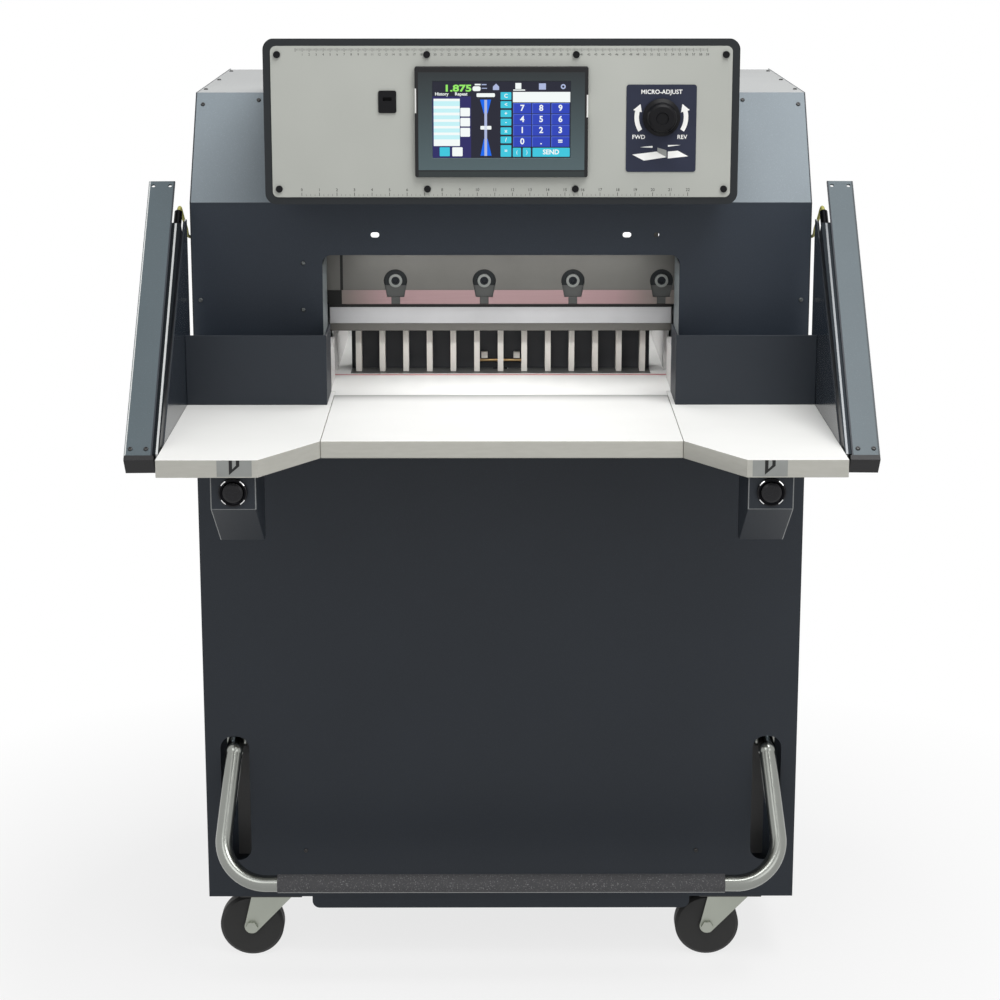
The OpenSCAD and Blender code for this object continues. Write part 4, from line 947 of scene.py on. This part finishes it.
whites = [tile(10, 162, 255, 608), tile(260, 248, 350, 328, 1.2), tile(260, 342, 350, 422, 1.2),
          tile(260, 436, 350, 520, 1.2), tile(183, 620, 280, 705, 1.2), tile(752, 98, 1288, 195),
          tile(412, 110, 584, 146, 1.5), tile(375, 45, 450, 90, 2.5), tile(395, 22, 450, 36),
          tile(775, 14, 830, 70), tile(755, 75, 866, 86)]
cyans = [tile(637, v0, 737, v1, 1.0) for v0, v1 in SIDE_ROWS]
cyans += [tile(752, 625, 828, 710, 1.0), tile(845, 625, 920, 710, 1.0), tile(937, 625, 1286, 710, 1.0),
          tile(65, 620, 160, 705, 1.0)]
pales = [tile(10, v0, 255, v1) for v0, v1 in LIST_BANDS]
blues = [[at(445, 170), at(480, 300), at(515, 300), at(548, 170)],
         [at(480, 540), at(448, 700), at(552, 700), at(515, 540)]]
hazes = [tile(485, 172, 510, 702), [at(565, 80), at(565, 48), at(594, 20), at(623, 48), at(623, 80)],
         tile(995, 18, 1060, 76), tile(460, 24, 505, 34), tile(460, 60, 510, 68)]
hazes += ring(1222, 48, 3.6 * MM, 1.7 * MM)
screen_layers = [
    ("screen_field", SCREEN_NAVY, 0, [tile(0, 140, 360, 720)], []),
    ("screen_keys", SCREEN_KEY, 0, keys, []),
    ("screen_key_edges", SCREEN_EDGE, 1, key_edges, []),
    ("screen_readout", SCREEN_GREEN, 0, [], [sign("1.875", 13, 236, 66, 0.035, 1.4)]),
    ("screen_tiles", SCREEN_WHITE, 1, whites + [tile(448, 418, 550, 452, 1.0)], []),
    ("screen_buttons", SCREEN_CYAN, 1, cyans, []),
    ("screen_gauge", SCREEN_BLUE, 0, blues, []),
    ("screen_icons", SCREEN_HAZE, 1, hazes, []),
    ("screen_list", SCREEN_PALE, 2, pales, []),
    ("screen_signs", SCREEN_WHITE, 2, [], white_words),
]
LAYER_T = 0.06 * MM
for name, material, layer, outlines, words in screen_layers:
    flat_piece(name, material, "machine", GLASS_Y - layer * LAYER_T, outlines, words, LAYER_T)
print("screen layers:", len(screen_layers))

# %% [markdown]
# The dial's overlay carries two bent arrows, the names of the two directions and a small
# picture of a gauge on a table. An arrow is a curved band that ends in a triangle.

# %% Dial print
DIAL_LOW, DIAL_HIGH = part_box("dial_plate")
DIAL_Y = DIAL_LOW.y
KNOB_LOW, KNOB_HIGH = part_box("micro_knob")
KNOB_X, KNOB_Z = (KNOB_LOW.x + KNOB_HIGH.x) / 2, (KNOB_LOW.z + KNOB_HIGH.z) / 2
ARROW_R, ARROW_W = 35.5 * MM, 6.5 * MM
ARROW_FROM, ARROW_TO, ARROW_TIP = 212, 166, 148


def polar(radius, degrees, side):
    angle = math.radians(degrees)
    return (KNOB_X - side * radius * math.cos(angle), KNOB_Z - radius * math.sin(angle))


def bent_arrow(side, steps=8):
    turns = [ARROW_FROM + (ARROW_TO - ARROW_FROM) * k / steps - 180 for k in range(steps + 1)]
    outer = [polar(ARROW_R + ARROW_W / 2, t, side) for t in turns]
    inner = [polar(ARROW_R - ARROW_W / 2, t, side) for t in turns]
    bands = [[outer[k], outer[k + 1], inner[k + 1], inner[k]] for k in range(steps)]
    head = [polar(ARROW_R + ARROW_W, ARROW_TO - 180, side), polar(ARROW_R, ARROW_TIP - 180, side),
            polar(ARROW_R - ARROW_W, ARROW_TO - 180, side)]
    return bands + [head]


def on_dial(u, v):
    return (DIAL_LOW.x + u * (DIAL_HIGH.x - DIAL_LOW.x), DIAL_HIGH.z - v * (DIAL_HIGH.z - DIAL_LOW.z))


little_table = [[on_dial(0.09, 0.80), on_dial(0.44, 0.765), on_dial(0.58, 0.83), on_dial(0.26, 0.87)],
                [on_dial(0.60, 0.765), on_dial(0.74, 0.755), on_dial(0.89, 0.82), on_dial(0.60, 0.845)],
                [on_dial(0.20, 0.715), on_dial(0.38, 0.70), on_dial(0.38, 0.722)],
                [on_dial(0.78, 0.69), on_dial(0.60, 0.69), on_dial(0.60, 0.71)]]
dial_words = [lettering("MICRO-ADJUST", 8.6 * MM, *on_dial(0.5, 0.085), 0.02),
              lettering("FWD", 8.4 * MM, *on_dial(0.18, 0.60), 0.012),
              lettering("REV", 8.4 * MM, *on_dial(0.80, 0.60), 0.012)]
flat_piece("dial_print", WHITE_INK, "machine", DIAL_Y,
           bent_arrow(1) + bent_arrow(-1) + little_table, dial_words)
flat_piece("dial_gauge_picture", TAPE, "machine", DIAL_Y,
           [[on_dial(0.45, 0.72), on_dial(0.58, 0.75), on_dial(0.585, 0.83), on_dial(0.45, 0.775)]])
print("dial print at", round(KNOB_X, 3), round(KNOB_Z, 3))

# %% [markdown]
# Beside the two long lamps, a round hole in the head shows part of a small spot lamp.

# %% Spot lamp
LAMP_LOW, LAMP_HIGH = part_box("lamps")
SPOT_X, SPOT_Z = LAMP_HIGH.x + 38.5 * MM, (LAMP_LOW.z + LAMP_HIGH.z) / 2
SPOT_LEFT, SPOT_RIGHT, SPOT_HALF_H = 3.6 * MM, 1.4 * MM, 3.6 * MM
SPOT_ROUND, SPOT_IN = 2.4 * MM, 1.8 * MM
lens = round_slab(SPOT_X - SPOT_LEFT, SPOT_Z - SPOT_HALF_H, SPOT_X + SPOT_RIGHT, SPOT_Z + SPOT_HALF_H,
                  SPOT_ROUND)
flat_piece("spot_lamp", LAMP, "machine", HEAD_Y + SPOT_IN, [lens], thick=MM)
print("spot lamp at", round(SPOT_X, 3), round(SPOT_Z, 3))

# %% [markdown]
# A strip of tape with an arrow marks each cut button from above, on the edge of the side
# table. The box under the table holds the button itself.

# %% Button marks
WING_LOW, WING_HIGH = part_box("side_tables")
TAPE_X, TAPE_W = 365.5 * MM, 48 * MM
TAPE_LOW, TAPE_HIGH = WING_LOW.z + 1.6 * MM, WING_HIGH.z - 0.7 * MM
MARK_SHAPE = (20.3 * MM, 7.2 * MM, 12.4 * MM)
GAP_SHAPE = (12.3 * MM, 2.6 * MM, 5.4 * MM)


def pennant(x, drop, half, slope):
    """An outline that hangs from the tape's upper edge, with a foot that slants down to the left."""
    low = TAPE_HIGH - drop
    return [(x - half, TAPE_HIGH), (x - half, low), (x + half, low + slope), (x + half, TAPE_HIGH)]


both = (-TAPE_X, TAPE_X)
tapes = [slab(x - TAPE_W / 2, TAPE_LOW, x + TAPE_W / 2, TAPE_HIGH) for x in both]
marks = [pennant(x, *MARK_SHAPE) for x in both]
gaps = [pennant(x, *GAP_SHAPE) for x in both]
flat_piece("button_tape", TAPE, "machine", WING_LOW.y, tapes)
flat_piece("button_marks", INK, "machine", WING_LOW.y - INK_T, marks)
flat_piece("button_mark_gaps", TAPE, "machine", WING_LOW.y - 2 * INK_T, gaps)
print("tape over x =", round(TAPE_X, 3))

# %% [markdown]
# Covers are held by small button-head screws. One tree turns a few points into screws: each
# head is a low dome with a round socket. Points for one facing share a run, because all of
# its screws look the same way.

# %% A Geometry Nodes tree for screws
SCREW_R, SCREW_H, SCREW_SIDES = 3.4 * MM, 2.0 * MM, 12
HEAD_PROFILE = ((1.0, 0.0), (1.0, 0.35), (0.86, 0.75), (0.6, 1.0), (0.42, 1.0), (0.42, 0.45))


def screw_mesh():
    """A dome turned from shares of the screw's radius and height."""
    shape = bmesh.new()
    turns = [2 * math.pi * k / SCREW_SIDES for k in range(SCREW_SIDES)]
    loops = []
    for wide, high in HEAD_PROFILE:
        radius = SCREW_R * wide
        loops.append([shape.verts.new((radius * math.cos(t), radius * math.sin(t), SCREW_H * high))
                      for t in turns])
    for low, high in zip(loops, loops[1:]):
        for k in range(SCREW_SIDES):
            after = (k + 1) % SCREW_SIDES
            shape.faces.new((low[k], low[after], high[after], high[k]))
    shape.faces.new(loops[0][::-1])
    shape.faces.new(loops[-1])
    mesh = bpy.data.meshes.new("screw")
    shape.to_mesh(mesh)
    shape.free()
    return mesh


def screw_tree():
    kinds = {"Points": "Geometry", "Screw": "Object", "Turn": "Vector", "Metal": "Material"}
    graph, given, keys = open_tree("screw_heads", kinds)
    head = graph.add("GeometryNodeObjectInfo", None, {"Object": given["Screw"]}, "Geometry")
    heads = graph.add("GeometryNodeInstanceOnPoints", None,
                      {"Points": given["Points"], "Instance": head, "Rotation": given["Turn"]})
    return close_tree(graph, heads, given["Metal"]), keys


SCREWS, SCREW_KEYS = screw_tree()
screw_model = bpy.data.objects.new("screw_model", screw_mesh())


def screws(name, points, turn, material=SCREW_STEEL):
    seed = bpy.data.meshes.new(name + "_points")
    seed.from_pydata(points, [], [])
    values = {"Screw": screw_model, "Turn": turn, "Metal": material}
    return grown(name, SCREWS, SCREW_KEYS, values, "machine", seed)


print("inputs of the screw tree:", list(SCREW_KEYS))

# %% [markdown]
# Screws stand where a cover is held: along its edges, and in pairs that mirror each other.

# %% Screw places
BODY_LOW, BODY_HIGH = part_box("side_covers")
REAR_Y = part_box("rear_cover")[1].y
FACE_FRONT = (math.radians(90), 0, 0)
FACE_BACK = (math.radians(-90), 0, 0)
FACE_RIGHT = (0, math.radians(90), 0)
FACE_LEFT = (0, math.radians(-90), 0)
FACE_UP = (0, 0, 0)


def mirrored(points):
    return points + [(-x, y, z) for x, y, z in points]


SHEET_T = 2 * MM
HEAD_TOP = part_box("head_front_cover")[1]
LEAN_RUN, LEAN_RISE = HEAD_TOP.y - SHEET_T - HEAD_Y, HEAD_TOP.z - LEAN_Z
FACE_SLANT = (math.atan2(LEAN_RISE, LEAN_RUN), 0, 0)
FACE_COLUMN = (math.radians(90) - COLUMN_LEAN, 0, 0)


def on_slant(x, share):
    return (x, HEAD_Y + LEAN_RUN * share, LEAN_Z + LEAN_RISE * share)


REAR_X, REAR_ROWS = 0.455, (0.16, 0.48, 0.80, 1.12, 1.36)
SIDE_COLUMNS, SIDE_HEIGHTS = (HEAD_Y + 0.03, 0.24, BODY_HIGH.y - 0.04), (0.15, 0.70, 1.16)
TOP_X, TOP_ROWS = 0.464, (0.10, 0.30, 0.50)
FOOT_UP, FOOT_IN = 11 * MM, (8 * MM, 30 * MM)
head_screws = mirrored([(0.460, HEAD_Y, TABLE_Z + 0.143)])
head_screws += [(-0.302, HEAD_Y, TABLE_Z + 0.200), (-0.303, HEAD_Y, TABLE_Z + 0.128)]
screws("front_screws", head_screws, FACE_FRONT, HEAD_SCREW)
screws("cabinet_screws", mirrored([(0.315, HEAD_Y, 0.195)]), FACE_FRONT)
screws("shoulder_screws", mirrored([on_slant(0.461, 0.89), on_slant(0.375, 0.93)]), FACE_SLANT)
screws("rear_screws", mirrored([(REAR_X, REAR_Y, z) for z in REAR_ROWS]), FACE_BACK)
side_places = [(y, z) for y in SIDE_COLUMNS for z in SIDE_HEIGHTS]
screws("right_screws", [(BODY_HIGH.x, y, z) for y, z in side_places], FACE_RIGHT)
screws("left_screws", [(BODY_LOW.x, y, z) for y, z in side_places], FACE_LEFT)
screws("top_screws", mirrored([(TOP_X, y, BODY_HIGH.z) for y in TOP_ROWS]), FACE_UP)
foot_y = COLUMN_FOOT_Y + FOOT_UP * math.sin(COLUMN_LEAN)
foot_z = COLUMN_FOOT_Z + FOOT_UP * math.cos(COLUMN_LEAN)
foot_screws = [(COLUMN_OUT - step, foot_y, foot_z) for step in FOOT_IN]
screws("column_screws", mirrored(foot_screws), FACE_COLUMN)
bpy.data.objects.remove(screw_model)
print("screw rows made")

# %% [markdown]
# Behind the vents in the rear cover lies a thin mat of dark filter foam.

# %% Filter mat
REAR_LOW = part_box("rear_cover")[0]
MAT_HALF, MAT_T = 118 * MM, 4 * MM
MAT_FROM, MAT_TO = REAR_LOW.z + 108 * MM, REAR_LOW.z + 366 * MM
mat = slab(-MAT_HALF, MAT_FROM, MAT_HALF, MAT_TO)
flat_piece("filter_mat", BLACK, "machine", REAR_LOW.y, [mat], thick=MAT_T)
print("filter mat from", round(MAT_FROM, 3), "to", round(MAT_TO, 3))

# %% [markdown]
# A plain pale floor, as in a product studio. It glows white to the camera away from the
# machine and keeps a soft shadow close to it. The world is white where it is seen or mirrored.

# %% Floor and world
FLOOR_HALF = 7.0
SHADOW_FROM, SHADOW_TO, NEAR_GLOW = 0.75, 1.5, 0.78
AMBIENT = 0.45
SEEN_BY = ("Is Camera Ray", "Is Glossy Ray", "Is Transmission Ray")


def seen(graph):
    """One for rays that see, mirror or look through, and nought for light that only bounces."""
    rays = graph.tree.nodes.new("ShaderNodeLightPath")
    return sum((Socket(graph, rays.outputs[kind]) for kind in SEEN_BY), 0)


floor_mesh = bpy.data.meshes.new("floor")
corners = [(x, y, 0) for x, y in slab(-FLOOR_HALF, -FLOOR_HALF, FLOOR_HALF, FLOOR_HALF)]
floor_mesh.from_pydata(corners, [], [(0, 1, 2, 3)])
floor = bpy.data.objects.new("floor", floor_mesh)
scene.collection.objects.link(floor)
ground = Finish("studio_floor")
distance = ground.add("ShaderNodeVectorMath", {"operation": "LENGTH"}, {0: ground.place}, "Value")
far = ground.ramp(distance, SHADOW_FROM, SHADOW_TO, NEAR_GLOW)
glow = ground.add("ShaderNodeEmission", None, {"Color": rgb(1, 1, 1), "Strength": 1.0})
ground.shade(Base_Color=rgb(0.85, 0.85, 0.85), Roughness=0.9)
blend = ground.tree.nodes.new("ShaderNodeMixShader")
ground.feed(blend, {0: far * seen(ground), 1: Socket(ground, ground.shader.outputs[0]), 2: glow})
ground.tree.links.new(blend.outputs[0], ground.tree.nodes["Material Output"].inputs[0])
floor_mesh.materials.append(ground.material)

world = bpy.data.worlds.new("studio")
world.use_nodes = True
scene.world = world
air = Graph(world.node_tree)
brightness = AMBIENT + (1 - AMBIENT) * seen(air)
air.feed(air.tree.nodes["Background"], {"Color": rgb(1, 1, 1), "Strength": brightness})
print("floor and world made")

# %% [markdown]
# Three large lamps light the machine from the front and above. Small ones stand inside it: one
# over the bed, one behind the gauge and one behind each slot of the foot bar.

# %% Lamps
MIDDLE = (0, 0, 0.9)
LIGHT_Z = TABLE_Z + 0.20
GAUGE_LIGHT_Y = 0.33
SLOT_X = 0.435


def soft_lamp(name, place, target, size, power, depth=None):
    """A round lamp, or a long one where a depth is given."""
    data = bpy.data.lights.new(name, "AREA")
    data.shape = "RECTANGLE" if depth else "DISK"
    data.size = size
    data.size_y = depth or size
    data.energy = power
    lamp = bpy.data.objects.new(name, data)
    lamp.location = place
    lamp.rotation_euler = (Vector(target) - Vector(place)).to_track_quat("-Z", "Y").to_euler()
    scene.collection.objects.link(lamp)


soft_lamp("key", (-1.5, -3.6, 3.0), MIDDLE, 2.0, 21)
soft_lamp("fill", (2.2, -3.2, 1.8), MIDDLE, 2.0, 12)
soft_lamp("top", (0.6, -1.2, 3.6), (0, -0.2, 0.95), 2.2, 76)
soft_lamp("work_light", (0, HEAD_Y + 0.03, LIGHT_Z), (0, HEAD_Y + 0.05, TABLE_Z), 0.46, 0.75, 0.02)
soft_lamp("rear_light", (0, GAUGE_LIGHT_Y, LIGHT_Z), (0, GAUGE_LIGHT_Y, TABLE_Z), 0.3, 1.2)
for x in (-SLOT_X, SLOT_X):
    soft_lamp("side_light", (x, HEAD_Y + 0.14, 0.50), (x, 0.50, 0.40), 0.04, 2)
print("lamps:", len(bpy.data.lights))
